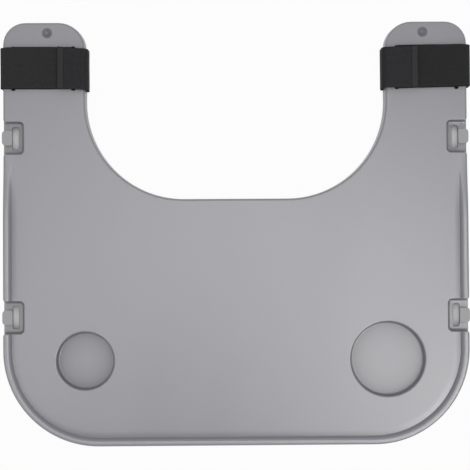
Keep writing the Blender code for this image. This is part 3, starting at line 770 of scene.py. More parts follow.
half = RIB / 2
bay_half = STRAP_SLOT[1] / 2 + STRAP_GAP + half
pitch = (STRAP_Y - bay_half - FRONT_Y) / CROSS_RIBS
cross = [FRONT_Y + pitch * (i + 1) for i in range(CROSS_RIBS)] + [STRAP_Y + bay_half]
pocket_wall = EDGE_X - POCKET_REACH - SKIRT_WALL / 2
for y in cross:
    beside = any(abs(y - p) < POCKET_HALF + SKIRT_WALL for p in POCKETS_Y.values())
    limit = pocket_wall if beside else EDGE_X
    for a, b in clear_runs(y, 1):
        tray.block((max(a, -limit), y - half, RIB_FOOT), (min(b, limit), y + half, RIB_TOP))
past_cutout = next(y for y in cross if y > CUTOUT_Y + pitch)
for i in range(-LENGTH_RIBS, LENGTH_RIBS + 1):
    x = (EDGE_X - ARM_WIDTH / 2) * i / LENGTH_RIBS
    on_arm = abs(i) == LENGTH_RIBS
    for a, b in clear_runs(x, 0):
        if on_arm or a < CUTOUT_Y:
            far = b if on_arm else min(b, past_cutout)
            tray.block((x - half, a, RIB_FOOT), (x + half, far, RIB_TOP))
for side in WELL_RADIUS:
    for y in POCKETS_Y.values():
        far, near = side * (EDGE_X - SEAT), side * pocket_wall
        end = POCKET_HALF + SKIRT_WALL / 2
        tray.block((near - half, y - end, RIB_FOOT), (near + half, y + end, BLOCK_UNDER + half))
        for middle in (y - end, y + end):
            tray.block((min(near, far), middle - half, RIB_FOOT),
                       (max(near, far), middle + half, BLOCK_UNDER + half))

tray_top = shade(tray.build("tray_moulding"))
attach(tray_top, "tray_body")
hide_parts("tray_panel")

# %% [markdown]
# ## Edge hooks
# Each hook is a small T-shaped insert: a broad flat head that stands on a neck over the bar
# between the slot and the tray's side. Rings that shrink towards both ends make the head's
# soft edges. The neck and its two snap legs, seen only from below, are a drawn profile.

# %% Heads, necks and snap legs
HEAD_THICKNESS = 0.0032
HEAD_REACH = 0.0122
HEAD_HALF = 0.0089
HEAD_CORNERS = (0.0046, 0.0022)
HEAD_EDGE = 0.0010
HEAD_UNDER_EDGE = 0.0005
HEAD_TURN = 7
NECK = (0.005, 0.009)
NECK_INSET = 0.004
LEG_DROP = 0.004
LEG_SPLIT = 0.0009
LEG_TAPER = 0.0008
LEG_GAP = 0.0003
BARB = 0.0011
HEAD_PROUD = 0.0006


def hook(name, side):
    """One hook's head and neck, placed by the frame's own box for it."""
    low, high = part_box("edge_" + name)
    middle = (low.y + high.y) / 2
    outer = side * max(abs(low.x), abs(high.x))
    inner = outer - side * HEAD_REACH
    top, bottom = high.z, high.z - HEAD_THICKNESS
    x0, x1 = sorted((inner, outer))
    y0, y1 = middle - HEAD_HALF, middle + HEAD_HALF
    r_out, r_in = HEAD_CORNERS
    radii = (r_out, r_in, r_in, r_out) if side > 0 else (r_in, r_out, r_out, r_in)
    inset = HEAD_UNDER_EDGE * np.linspace(1, 0, SMALL_STEPS + 1)
    rows = [(s, bottom + lip(HEAD_UNDER_EDGE - s, HEAD_UNDER_EDGE)) for s in inset]
    rows += [(HEAD_EDGE * (1 - run), top - HEAD_EDGE * fall)
             for run, fall in quarter(LIP_STEPS)[::-1]]
    rings = [raised(rounded_rectangle((x0 + s, y0 + s), (x1 - s, y1 - s),
                                      [r - s for r in radii], HEAD_TURN), z) for s, z in rows]
    insert = Surface()
    insert.solid(rings)
    under = BLOCK_UNDER - LEG_GAP
    tip, reach = under - LEG_DROP, NECK[1] / 2
    right = [(LEG_SPLIT, tip), (reach - LEG_TAPER, tip), (reach + BARB, under - BARB),
             (reach + BARB, under), (reach, under), (reach, bottom + HEAD_THICKNESS / 2)]
    profile = np.array(right + [(-v, z) for v, z in reversed(right)]
                       + [(-LEG_SPLIT, POCKET_FLOOR), (LEG_SPLIT, POCKET_FLOOR)])
    far = outer - side * (HEAD_PROUD + NECK_INSET)
    ends = [far, far - side * NECK[0]]
    insert.solid([np.column_stack([np.full(len(profile), x), profile + (middle, 0)])
                  for x in ends])
    whole = shade(insert.build(name), degrees=30)
    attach(whole, "tray_body")
    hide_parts("edge_" + name)
    return whole


hooks = [hook(f"hook_{name}_{place}", side) for side, name in SIDE_NAME.items()
         for place in POCKETS_Y]
print("hooks:", len(hooks), "with", len(hooks[0].data.polygons), "faces each")

# %% [markdown]
# ## Straps
# Each strap is one length of webbing. It goes up through the inner slot, over the arm and
# down through the outer one, comes back over the outer edge, and its free end closes over the
# cut-out's edge on to that layer with a hook and loop fastener. A ribbon is a line in X and Z
# with a thin section carried along it. The free end is a piece of its own, tied to neither
# the tray nor the flap's body.

# %% Lines with rounded corners
PATH_STEP = 0.0015
ARC_STEP = 0.0006
ARC_LEAST = 6


def rounded_line(corners, radii):
    """Points, left normals and lengths along a line whose corners are arcs of given radii: a
    walk whose straight runs stop r tan(turn / 2) short of each corner."""
    runs, radii = np.diff(np.array(corners, float), axis=0), np.array(radii)
    headings = np.unwrap(np.arctan2(runs[:, 1], runs[:, 0]))
    turns = np.diff(headings)
    short = np.concatenate([[0], radii * np.tan(abs(turns) / 2), [0]])
    moves = []
    for k, length in enumerate(np.hypot(*runs.T) - short[:-1] - short[1:]):
        moves.append((length, 0, PATH_STEP))
        if k < len(turns):
            count = max(ARC_LEAST, round(abs(turns[k]) * radii[k] / ARC_STEP))
            moves.append((radii[k], math.degrees(turns[k]), count))
    points, normals = walk(corners[0], math.degrees(headings[0]), moves)
    steps = np.hypot(*np.diff(points, axis=0).T)
    return points, normals, np.concatenate([[0], np.cumsum(steps)])


# %% Ribbons of cloth
ACROSS = 27
EDGE_TURN = 6
GROOVE_AT = 0.003
GROOVE_WIDTH = 0.0006
RIPPLE = 0.00008
RIPPLES = ((1, 0.0061, 0.017), (1, 0.0113, -0.009), (0.6, 0.0037, 0.006))
SWAY = 0.00015
SWAYS = (0.013, 0.0052)
PINCH = 0.025
PINCH_RUN = (0.012, 0.002)
CLOTH_CORNER = math.radians(60)


def cloth_section(width, thickness, groove):
    """(across, out) points round a thin strip with round edges. groove is the depth of the
    line that runs along each edge."""
    half, r = width / 2, thickness / 2
    v = np.linspace(-(half - r), half - r, ACROSS)
    dip = groove * np.exp(-((half - np.abs(v) - GROOVE_AT) / GROOVE_WIDTH) ** 2)
    a = np.linspace(math.pi / 2, -math.pi / 2, EDGE_TURN)[1:-1]
    edge = np.stack([half - r + r * np.cos(a), r * np.sin(a)], 1)
    top = np.stack([v, r - dip], 1)
    return np.concatenate([top, edge, top[::-1] * (1, -1), edge[::-1] * (-1, 1)])


def ripple(s, v, seed):
    """A small uneven lift: the mean of slow waves sin(s/a + v/b + k seed), by their shares."""
    waves = [share * np.sin(s / a + v / b + (k + 1) * seed)
             for k, (share, a, b) in enumerate(RIPPLES)]
    return RIPPLE * sum(waves) / sum(share for share, _, _ in RIPPLES)


class Ribbon:
    """Cloth that follows a line in X and Z. Point (s, v, out) lies at line(s) plus the line's
    normal times (out + ripple), across the strap's middle, mirrored for the left side. lean
    skews the strap: its middle moves in Y by lean for each metre in X from the pivot. Round the
    arm's outer edge it is narrower by the share PINCH, from PINCH_RUN before it to past it."""

    def __init__(self, side, line, width, thickness, seed, shift, lean, pivot):
        self.side, self.line, self.width, self.thickness = side, line, width, thickness
        self.seed, self.shift, self.lean, self.pivot = seed, shift, lean, pivot

    def place(self, s, v, out):
        """World points for arrays of the same shape: s along, v across and out of the cloth."""
        points, normals, length = self.line
        x, z = (np.interp(s, length, points[:, k]) for k in (0, 1))
        nx, nz = (np.interp(s, length, normals[:, k]) for k in (0, 1))
        lift = out + ripple(s, v, self.seed)
        past = np.clip((x - EDGE_X + PINCH_RUN[0]) / sum(PINCH_RUN), 0, 1)
        y = STRAP_Y + self.shift + self.lean * (x - self.pivot)
        y = y + v * (1 - PINCH * smooth_step(past))
        slow, quick = (np.sin(s / run + (k + 1) * self.seed) for k, run in enumerate(SWAYS))
        y = y + SWAY * (slow + quick / 2)
        return np.stack([self.side * (x + nx * lift), y, z + nz * lift], -1)

    def build(self, name, groove):
        """The ribbon as a closed mesh, shaded smooth over its round edges. Its UV map is in
        metres along and across."""
        section = cloth_section(self.width, self.thickness, groove)
        s, v = np.broadcast_arrays(self.line[2][:, None], section[None, :, 0])
        skin = Surface()
        skin.solid(self.place(s, v, np.broadcast_to(section[None, :, 1], s.shape)))
        obj = skin.build(name, np.stack([s, v], -1))
        obj.data.shade_smooth()
        obj.data.set_sharp_from_angle(angle=CLOTH_CORNER)
        return obj


# %% Rows of stitches
STITCH = 0.0021
STITCH_PITCH = 0.0029
THREAD = 0.00044
BEAD_AT = np.array([-1, -0.8, -0.3, 0.3, 0.8, 1])
BEAD_SIZE = np.array([0.25, 0.8, 1, 1, 0.8, 0.25])
BEAD_SINK = np.array([-1.2, -0.2, 0.35, 0.35, -0.2, -1.2])
BEAD_SIDES = 6


def stitch_row(ribbon, start, end):
    """Closed beads of thread from one (s, v) place on a ribbon to another, each a tube that
    tapers at both ends and dips into the cloth there."""
    start, end = np.array(start), np.array(end)
    run = np.hypot(*(end - start))
    ahead = (end - start) / run
    aside = np.array([-ahead[1], ahead[0]])
    r, sink = THREAD / 2 * BEAD_SIZE[:, None], THREAD / 2 * BEAD_SINK[:, None]
    a = np.linspace(0, math.tau, BEAD_SIDES, endpoint=False)
    along = (BEAD_AT * STITCH / 2)[:, None, None]
    beads = []
    for k in range(int(run / STITCH_PITCH)):
        centre = start + ahead * STITCH_PITCH * (k + 0.5)
        at = centre + ahead * along + aside * (r * np.cos(a))[..., None]
        out = ribbon.thickness / 2 + sink + r * np.sin(a)
        beads.append(ribbon.place(at[..., 0], at[..., 1], out))
    return beads


def stitches(name, ribbon, rows):
    """All the rows of stitches on one ribbon as one object."""
    thread = Surface()
    for row in rows:
        for bead in stitch_row(ribbon, *row):
            thread.solid(bead)
    obj = thread.build(name)
    obj.data.shade_smooth()
    return obj


# %% The strap's layers
WEBBING = 0.0012
PATCH = 0.0008
TAPE = 0.0006
GAP = 0.0003
PATCH_GAP = GAP / 3
UNDER_Z = STRAP_GAP + WEBBING / 2
RUN_Z = DECK + GAP + WEBBING / 2
TAIL_Z = RUN_Z + WEBBING + GAP
FLAP_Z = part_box("right_flap")[1].z - WEBBING / 2
TAIL_END = CUTOUT_X + 0.0115
SEAM_X = CUTOUT_X + 0.0075
OUTER_BEND = 0.0060
FLAP_BEND = 0.0065
FOOT_BEND = 0.0022
TIGHT = 0.0016
FOLD_SHARE = 0.9
PATCH_FOOT = 0.0095
PATCH_TAIL = 0.003
GRIP_START = 0.012
GRIP_NARROWER = 0.002
BINDING_WIDTH = 0.0068
BINDING_OVER = 0.0006

# %% How each strap lies
OUTER_SLACK = {-1: 0.0003, 1: 0.0015}
INNER_SLACK = {-1: 0.0022, 1: 0.0026}
BAND_LEAN = {-1: 0.0, 1: 0.016}
FLAP_LEAN = {-1: 0.045, 1: 0.025}
FLAP_WIDTH = {-1: STRAP_WIDTH - 0.0003, 1: STRAP_WIDTH - 0.0008}
LOOP_SHIFT = {-1: 0.0005, 1: 0.0012}
LOOP_WIDTH = {-1: STRAP_WIDTH + 0.0001, 1: STRAP_WIDTH + 0.0009}
FLAP_END = {side: max(abs(corner.x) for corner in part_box(f"{name}_flap_binding"))
            for side, name in SIDE_NAME.items()}
print("flap ends at", {SIDE_NAME[k]: round(v, 4) for k, v in FLAP_END.items()})


def strap_lines(side):
    """Lines of the band, loop patch, flap, hook tape and end tape of one strap."""
    wrap = EDGE_X + OUTER_SLACK[side] + WEBBING / 2
    hinge = CUTOUT_X - INNER_SLACK[side] - WEBBING / 2
    inner, outer = STRAP_SLOTS_X
    end = FLAP_END[side]
    band = rounded_line([(SEAM_X, UNDER_Z), (inner, UNDER_Z), (inner, RUN_Z), (outer, RUN_Z),
                         (outer, UNDER_Z), (wrap, UNDER_Z), (wrap, TAIL_Z), (TAIL_END, TAIL_Z)],
                        [TIGHT] * 4 + [FOOT_BEND, OUTER_BEND])
    out = WEBBING / 2 + PATCH_GAP + PATCH / 2
    loops = rounded_line([(TAIL_END + PATCH_TAIL, TAIL_Z + out), (wrap + out, TAIL_Z + out),
                          (wrap + out, PATCH_FOOT)], [OUTER_BEND + out])
    flap = rounded_line([(SEAM_X, UNDER_Z), (hinge, UNDER_Z), (hinge, FLAP_Z),
                         (end - TAPE - GAP, FLAP_Z)], [FOOT_BEND, FLAP_BEND])
    grip_z = FLAP_Z - out
    grips = rounded_line([(hinge + GRIP_START, grip_z), (end - BINDING_WIDTH - GAP, grip_z)], [])
    fold = WEBBING / 2 + GAP + TAPE / 2
    tip = end - TAPE / 2
    tape = rounded_line([(end - BINDING_WIDTH, FLAP_Z + fold), (tip, FLAP_Z + fold),
                         (tip, FLAP_Z - fold), (end - BINDING_WIDTH, FLAP_Z - fold)],
                        [fold * FOLD_SHARE] * 2)
    return {"band": band, "loops": loops, "flap": flap, "grips": grips, "tape": tape}


# %% Build both straps
GROOVE = 0.00012
FIRST_SEED = 1.3
STITCH_INSET = 0.0028
ROW_INSET = 0.001
TAPE_ROW = 0.0014
LAYERS = {"band": ("band_cloth", "strap_band", "webbing", GROOVE),
          "loops": ("loop_pile", "loop_patch", "loop_tape", 0.0),
          "flap": ("flap_cloth", "flap", "webbing", GROOVE),
          "grips": ("hook_tape", "hook_patch", "hook_tape", 0.0),
          "tape": ("end_tape", "flap_binding", "binding_tape", 0.0)}


def strap_ribbons(side):
    """The ribbon of every layer of one strap. The flap's own layers lean about its end, and
    the others about the arm's middle."""
    lines, seed = strap_lines(side), FIRST_SEED + side
    base = (BAND_LEAN[side], (CUTOUT_X + EDGE_X) / 2)
    flapped = (FLAP_LEAN[side], FLAP_END[side])
    wide = FLAP_WIDTH[side]
    rows = {"band": (STRAP_WIDTH, WEBBING, seed, 0.0, *base),
            "loops": (LOOP_WIDTH[side], PATCH, seed + 4, LOOP_SHIFT[side], *base),
            "flap": (wide, WEBBING, seed + 2, 0.0, *flapped),
            "grips": (STRAP_WIDTH - GRIP_NARROWER, PATCH / 2, seed + 5, 0.0, *flapped),
            "tape": (wide + BINDING_OVER, TAPE, seed + 6, 0.0, *flapped)}
    return {key: Ribbon(side, lines[key], *row) for key, row in rows.items()}


def seams(low, high, aside, across):
    """Rows of stitches along both sides from s = low to high, and across at the given s."""
    along = [((low, v), (high, v)) for v in (aside, -aside)]
    return along + [((s, -aside), (s, aside)) for s in across]


straps = {}
for side, name in SIDE_NAME.items():
    ribbons, pieces = strap_ribbons(side), {}
    body = f"{name}_flap_body"
    for key, (label, node, slot_name, groove) in LAYERS.items():
        pieces[key] = ribbons[key].build(f"{name}_{label}", groove)
        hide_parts(f"{name}_{node}")
    edge = STRAP_WIDTH / 2 - STITCH_INSET
    hinge = CUTOUT_X - GAP - WEBBING / 2
    total = ribbons["flap"].line[2][-1]
    far = total - (FLAP_END[side] - TAPE - GAP) + hinge + GRIP_START
    near = total - BINDING_WIDTH - STITCH_INSET / 2
    wide = LOOP_WIDTH[side] / 2 - STITCH_INSET / 2
    reach = ribbons["loops"].line[2][-1] - ROW_INSET
    rows = {"flap": seams(far, near, edge, (far, near)),
            "tape": [((TAPE_ROW, -edge), (TAPE_ROW, edge))],
            "loops": seams(ROW_INSET, reach, wide, (ROW_INSET,))}
    for key, label in (("flap", "flap_thread"), ("tape", "tape_thread"), ("loops", "loop_thread")):
        pieces[label] = stitches(f"{name}_{label}", ribbons[key], rows[key])
    for key in ("band", "loops", "loop_thread"):
        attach(pieces[key], "tray_body")
    for key in ("grips", "tape", "flap_thread", "tape_thread"):
        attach(pieces[key], body)
    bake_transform(pieces["flap"])
    straps[name] = pieces
print("strap pieces:", sum(len(s) for s in straps.values()))

# %% [markdown]
# ## Materials
# Every finish is built from node groups that read object coordinates, or the cloth's own
# coordinates in metres, so a grain or a weave has its real size wherever the piece lies. A
# group gives heights, masks and values only. The shader itself stays in the material, where
# its fixed numbers are set on its own sockets. A small class lets us write what a chain of
# math nodes does as a sum.

# %% Values in a node tree
def put(socket, value):
    """Sets an input to a number or a colour, or links it to another node's output."""
    if isinstance(value, Value):
        socket.id_data.links.new(value.socket, socket)
    else:
        socket.default_value = value


def add(tree, kind, settings=None, **inputs):
    """A new node with its settings and inputs. An input's name is written with _ for a space,
    or as i and its number."""
    made = tree.nodes.new(kind)
    for key, value in (settings or {}).items():
        setattr(made, key, value)
    for key, value in inputs.items():
        number = key[0] == "i" and key[1:].isdigit()
        put(made.inputs[int(key[1:]) if number else key.replace("_", " ")], value)
    return made


class Value:
    """A node's output. Sums, products and shares of values add math nodes to its tree."""

    def __init__(self, socket):
        self.socket, self.tree = socket, socket.id_data

    def math(self, operation, b=0.0, c=0.0):
        """The result of one math node."""
        made = add(self.tree, "ShaderNodeMath", {"operation": operation}, i0=self, i1=b, i2=c)
        return Value(made.outputs[0])

    def __add__(self, b):
        return self.math("ADD", b)

    def __mul__(self, b):
        return self.math("MULTIPLY", b)

    def __truediv__(self, b):
        return self.math("DIVIDE", b)

    def ramp(self, low, high, to_low=0.0, to_high=1.0):
        """The value mapped from one range to another, kept within it."""
        made = add(self.tree, "ShaderNodeMapRange", {"clamp": True}, i0=self, i1=low, i2=high,
                   i3=to_low, i4=to_high)
        return Value(made.outputs[0])


# %% Small helpers for nodes
def noise(at, scale, detail=2.0, roughness=0.5):
    """A noise value from 0 to 1, scale in cells for each metre."""
    return Value(add(at.tree, "ShaderNodeTexNoise", Vector=at, Scale=scale, Detail=detail,
                     Roughness=roughness).outputs["Fac"])


def cells(at, scale, feature="F1", **inputs):
    """Distance to the nearest of scattered points, scale in points for each metre."""
    return Value(add(at.tree, "ShaderNodeTexVoronoi", {"feature": feature}, Vector=at,
                     Scale=scale, **inputs).outputs["Distance"])


def mapped(at, **inputs):
    """A vector turned and stretched."""
    return Value(add(at.tree, "ShaderNodeMapping", Vector=at, **inputs).outputs[0])


def split(at):
    """The x, y and z of a vector."""
    return [Value(part) for part in add(at.tree, "ShaderNodeSeparateXYZ", Vector=at).outputs]


def mixed(share, a, b):
    """A colour between a and b."""
    return Value(add(share.tree, "ShaderNodeMix", {"data_type": "RGBA"}, i0=share, i6=a,
                     i7=b).outputs[2])


def openness(tree, reach, samples, only_local):
    """Ambient occlusion's value: 1 in the open, and towards 0 where faces stand near."""
    settings = {"samples": samples, "only_local": only_local}
    return Value(add(tree, "ShaderNodeAmbientOcclusion", settings, Distance=reach).outputs["AO"])


def new_group(name, labels, build):
    """A node group that takes a vector and puts out the values that build(vector) returns."""
    tree = bpy.data.node_groups.new(name, "ShaderNodeTree")
    tree.interface.new_socket(name="Vector", in_out="INPUT", socket_type="NodeSocketVector")
    for label in labels:
        tree.interface.new_socket(name=label, in_out="OUTPUT", socket_type="NodeSocketFloat")
    at = Value(tree.nodes.new("NodeGroupInput").outputs["Vector"])
    out = tree.nodes.new("NodeGroupOutput")
    for label, value in zip(labels, build(at)):
        put(out.inputs[label], value)
    return tree


def use_group(group, at):
    """A group's values at a place, by their names."""
    made = add(at.tree, "ShaderNodeGroup", {"node_tree": group}, Vector=at)
    return {part.name: Value(part) for part in made.outputs}


def new_material(name, **values):
    """A material with a Principled shader, some of whose sockets have fixed values."""
    mat = bpy.data.materials.new(name)
    mat.use_nodes = True
    shader = mat.node_tree.nodes["Principled BSDF"]
    for key, value in values.items():
        shader.inputs[key.replace("_", " ")].default_value = value
    return mat, shader


def finish_material(shader, colour, roughness, height, distance, strength):
    """Colour, roughness and bump joined to the shader."""
    bump = add(colour.tree, "ShaderNodeBump", Height=height, Distance=distance,
               Strength=strength)
    put(shader.inputs["Base Color"], colour)
    put(shader.inputs["Roughness"], roughness)
    put(shader.inputs["Normal"], Value(bump.outputs["Normal"]))


# %% [markdown]
# ## Moulded plastic
# The tray's plastic has a fine spark-eroded grain, which makes it satin: it scatters the
# light of the studio into a wide soft sheen. Slow noise gives the faint flow marks of
# moulding, and short stretched noise the light rubs of use. The group is shared by the tray
# and the hooks, which only differ in colour and gloss. An occlusion value deepens the corners
# further than their own shadow does, as the photo has them.

# %% Grain of moulded plastic, with scales in cells for each metre
PEBBLES, GRITS, SPECKS, STREAKS = 1900.0, 5200.0, 750.0, 900.0
FLOWS, PATCHES = 14.0, 11.0
FLOW_STRETCH = (1.0, 0.35, 1.0)
STREAK_STRETCH = (1.0, 0.06, 1.0)
STREAK_TURN = (0, 0, 0.6)


def moulded_grain(at):
    """Pebbles with grit on them, slow flow marks, rubs (streaks that lie in patches), specks."""
    height = cells(at, PEBBLES, "SMOOTH_F1", Smoothness=0.6) * 0.7 + noise(at, GRITS) * 0.5
    flow = noise(mapped(at, Scale=FLOW_STRETCH), FLOWS, detail=3.0, roughness=0.45)
    along = mapped(at, Rotation=STREAK_TURN, Scale=STREAK_STRETCH)
    rub = noise(along, STREAKS).ramp(0.66, 0.76) * noise(at, PATCHES).ramp(0.52, 0.70)
    return height, flow, rub, noise(at, SPECKS, detail=4.0, roughness=0.65)


grain = new_group("moulded_grain", ("Height", "Flow", "Rub", "Speck"), moulded_grain)
# Reach, share and samples of the shade painted into the plastic's corners.
PAINTED_SHADE_REACH = 0.03
PAINTED_SHADE_SHARE = 0.7
PAINTED_SHADE_SAMPLES = 12
FLOW_RANGE = (0.3, 0.7)
SPECK_RANGE = (0.3, 0.75)
SPECK_SHARE, SPECK_LIFT = 0.07, 1.35
RUB_SHARE, RUB_LIFT, RUB_GLOSS = 0.16, 1.5, 0.05
PAINTED_SHADE_BLACK = (0, 0, 0, 1)


def brighter(colour, times):
    """A colour times a factor, with no part over 1."""
    return tuple(min(1, c * times) for c in colour[:3]) + (1,)


def plastic(name, colour, shadow, roughness, spread, grain_depth):
    """A moulded plastic whose colour varies a little round its own, with painted shade in its
    corners:
    tone times 1 - s (1 - openness), s being the share of painted shade."""
    mat, shader = new_material(name, Specular_IOR_Level=0.3)
    tree = mat.node_tree
    parts = use_group(grain, Value(add(tree, "ShaderNodeTexCoord").outputs["Object"]))
    flow, rub = parts["Flow"], parts["Rub"]
    tone = mixed(flow.ramp(*FLOW_RANGE), shadow, colour)
    speck = parts["Speck"].ramp(*SPECK_RANGE, 0.0, SPECK_SHARE)
    tone = mixed(speck, tone, brighter(colour, SPECK_LIFT))
    tone = mixed(rub * RUB_SHARE, tone, brighter(colour, RUB_LIFT))
    # Painted shade: the colour is darkened towards black where other faces stand near.
    corner = openness(tree, PAINTED_SHADE_REACH, PAINTED_SHADE_SAMPLES, only_local=True)
    tone = mixed(corner.ramp(0.0, 1.0, PAINTED_SHADE_SHARE, 0.0), tone, PAINTED_SHADE_BLACK)
    rough = flow.ramp(*FLOW_RANGE, roughness, roughness + spread) + rub * -RUB_GLOSS
    finish_material(shader, tone, rough, parts["Height"], grain_depth, strength=0.5)
    return mat


TRAY_GREY = (0.304, 0.298, 0.322, 1)
TRAY_GREY_LOW = (0.293, 0.288, 0.311, 1)
HOOK_GREY = (0.388, 0.388, 0.397, 1)
HOOK_GREY_LOW = (0.352, 0.352, 0.362, 1)
tray_plastic = plastic("satin_grey_plastic", TRAY_GREY, TRAY_GREY_LOW, 0.31, 0.05, 0.00005)
hook_plastic = plastic("matte_grey_plastic", HOOK_GREY, HOOK_GREY_LOW, 0.60, 0.08, 0.00012)
tray_top.data.materials.append(tray_plastic)
for piece in hooks:
    piece.data.materials.append(hook_plastic)
print("plastics:", tray_plastic.name, hook_plastic.name)

# %% [markdown]
# ## Webbing, pile and tape
# Webbing is a tight plain weave: each crossing is a small hump, and the rows change over from
# one cell to the next. The humps come from sines of the cloth's own coordinates. Loop pile
# is a mat of fine curls, so it is noise all over, with shade painted in its depths. The folded end
# tape has a slanting twill. Every cloth has shade painted between its yarns, and a ribbon along
# its two long edges.

# %% Three cloths, with pitches in metres and noise scales in cells for each metre
# The second output masks the gaps between yarns and curls, where shade is painted into the colour.
CLOTH_OUT = ("Height", "Gap shade", "Tone")
WARP, WEFT = 0.00105, 0.00150
WOBBLE, WOBBLES = 0.0004, 160.0
HAIRS = 5200.0
WEAVE_TONES, TWILL_TONES, PILE_TONES = 260.0, 300.0, 420.0
TWILL_SLANT = 0.8
TWILL_PITCH, YARN_PITCH = 0.0011, 0.0007
CURLS, FUZZ = 1500.0, 3800.0


def hump(value, pitch):
    """sin of half a turn for each cell: 0 at the cell's sides and 1 in its middle."""
    return ((value / pitch).math("FRACT") * math.pi).math("SINE")


def webbing_weave(at):
    """Plain weave: the warp is on top in every other cell, and the weft in the rest."""
    wobble = noise(at, WOBBLES) * WOBBLE
    along, across = (part + wobble for part in split(at)[:2])
    row, column = ((along / WEFT).math("FLOOR"), (across / WARP).math("FLOOR"))
    over = (row + column).math("PINGPONG", 1.0)
    warp, weft = hump(across, WARP), hump(along, WEFT)
    crossing = warp * weft
    high = (crossing * (over + 0.45)).math("MAXIMUM", crossing * 0.7 * (over * -1.0 + 1.35))
    height = high + noise(at, HAIRS, detail=3.0) * 0.35
    tone = noise(at, WEAVE_TONES, detail=4.0, roughness=0.6)
    return height, high.ramp(0.05, 0.6, 1.0, 0.0), tone


def slanting_twill(at):
    """Slanting ribs with yarns across them."""
    along, across, _ = split(at)
    rib = hump(along + across * TWILL_SLANT, TWILL_PITCH)
    high = rib * (hump(across, YARN_PITCH) * 0.4 + 0.6)
    height = high + noise(at, HAIRS, detail=3.0) * 0.3
    tone = noise(at, TWILL_TONES, detail=4.0, roughness=0.6)
    return height, high.ramp(0.0, 0.5, 1.0, 0.0), tone


def loop_pile(at):
    """A mat of curls with fuzz on them."""
    rise = cells(at, CURLS) * 0.8 + noise(at, FUZZ, detail=4.0, roughness=0.7) * 0.9
    tone = noise(at, PILE_TONES, detail=5.0, roughness=0.7)
    return rise, rise.ramp(0.45, 0.95, 1.0, 0.0), tone


weave, twill, pile = (new_group(build.__name__, CLOTH_OUT, build)
                      for build in (webbing_weave, slanting_twill, loop_pile))
print("cloth groups:", weave.name, twill.name, pile.name)

# %% Cloth materials
# Width and colour of the shade painted along a ribbon's two long edges.
EDGE_SHADE_WIDTH = 0.0009
EDGE_SHADE_TONE = (0.006, 0.006, 0.007, 1)
SHEEN_ROUGHNESS = 0.45
UNEVEN_RANGE, UNEVEN_SHARE = (0.35, 0.75), 0.35
ROUGH_RANGE, ROUGH_SPREAD = (0.3, 0.7), 0.06


def cloth(name, group, light, dark, roughness, depth, sheen, on_ribbon=True):
    """A dark cloth: lighter on its yarns, with shade painted between them, uneven at a slow scale.
    Its colours are given as (red and green, blue). Shade is also painted along a ribbon's two long
    edges, half a strap from the middle."""
    mat, shader = new_material(name, Sheen_Weight=sheen, Sheen_Roughness=SHEEN_ROUGHNESS,
                               Specular_IOR_Level=0.15)
    tree = mat.node_tree
    light, dark = ((grey, grey, blue, 1) for grey, blue in (light, dark))
    if on_ribbon:
        at = Value(add(tree, "ShaderNodeUVMap", {"uv_map": "cloth"}).outputs["UV"])
    else:
        at = Value(add(tree, "ShaderNodeTexCoord").outputs["Object"])
    parts = use_group(group, at)
    # Painted shade in the gaps between yarns and curls.
    tone = mixed(parts["Gap shade"], light, dark)
    tone = mixed(parts["Tone"].ramp(*UNEVEN_RANGE, 0.0, UNEVEN_SHARE), tone, dark)
    # Painted shade along a ribbon's two long edges, where its layers would shade each other.
    if on_ribbon:
        aside, half = split(at)[1].math("ABSOLUTE"), STRAP_WIDTH / 2
        tone = mixed(aside.ramp(half - EDGE_SHADE_WIDTH, half - EDGE_SHADE_WIDTH / 3), tone, EDGE_SHADE_TONE)
    rough = parts["Tone"].ramp(*ROUGH_RANGE, roughness - ROUGH_SPREAD, roughness + ROUGH_SPREAD)
    finish_material(shader, tone, rough, parts["Height"], depth, strength=0.8)
    return mat


webbing = cloth("dark_webbing", weave, (0.0215, 0.0240), (0.0090, 0.0105), 0.82, 0.00012, 0.05)
curls = cloth("dark_loop_pile", pile, (0.0285, 0.0305), (0.0095, 0.0105), 0.92, 0.00030, 0.09)
# The right strap's pile is a darker version of the left strap's pile.
darker_pile = cloth("darker_loop_pile", pile, (0.0205, 0.0225), (0.0070, 0.0080), 0.92, 0.00030, 0.07)
grips = cloth("dark_hook_tape", weave, (0.030, 0.032), (0.014, 0.015), 0.55, 0.00010, 0.0)
tape = cloth("dark_twill_tape", twill, (0.0310, 0.0330), (0.0150, 0.0165), 0.80, 0.00012, 0.08)
thread = cloth("dark_thread", pile, (0.050, 0.054), (0.026, 0.028), 0.60, 0.00004, 0.0, False)
for name, pieces in straps.items():
    cloth_of = {"band": webbing, "flap": webbing, "grips": grips, "tape": tape,
                "loops": darker_pile if name == "right" else curls}
    for key, piece in pieces.items():
        piece.data.materials.append(cloth_of.get(key, thread))
print("cloths:", [mat.name for mat in (webbing, curls, darker_pile, grips, tape, thread)])

# %% [markdown]
# ## Studio
# The photo was taken from straight above on white, as in a light box. The camera stands 1.4 m
# over the tray with a narrow lens. A bright even world lights everything. A fan of softboxes
# overhead adds only sheen, because they are hidden from rays that a matte surface sends out.
# Their powers were found by comparing the deck's sheen with the photo's. The floor glows white
# to the camera, to mirrors and through glass, and is grey to other rays. Close to the tray,
# which hides the sky from it, the glow fades.

# %% Camera
CAMERA_PLACE = (-0.0182, -0.0275, 1.4403)
CAMERA_TILT = (1.008, -0.671, -0.34)
VIEW_ANGLE = 22
camera_data = bpy.data.cameras.new("camera")
camera_data.angle = math.radians(VIEW_ANGLE)
camera = placed("camera", camera_data)
camera.location = CAMERA_PLACE
camera.rotation_mode = "QUATERNION"
tilt = Vector([math.radians(a) for a in CAMERA_TILT])
camera.rotation_quaternion = Matrix.Rotation(tilt.length, 3, tilt.normalized()).to_quaternion()
bpy.context.scene.camera = camera

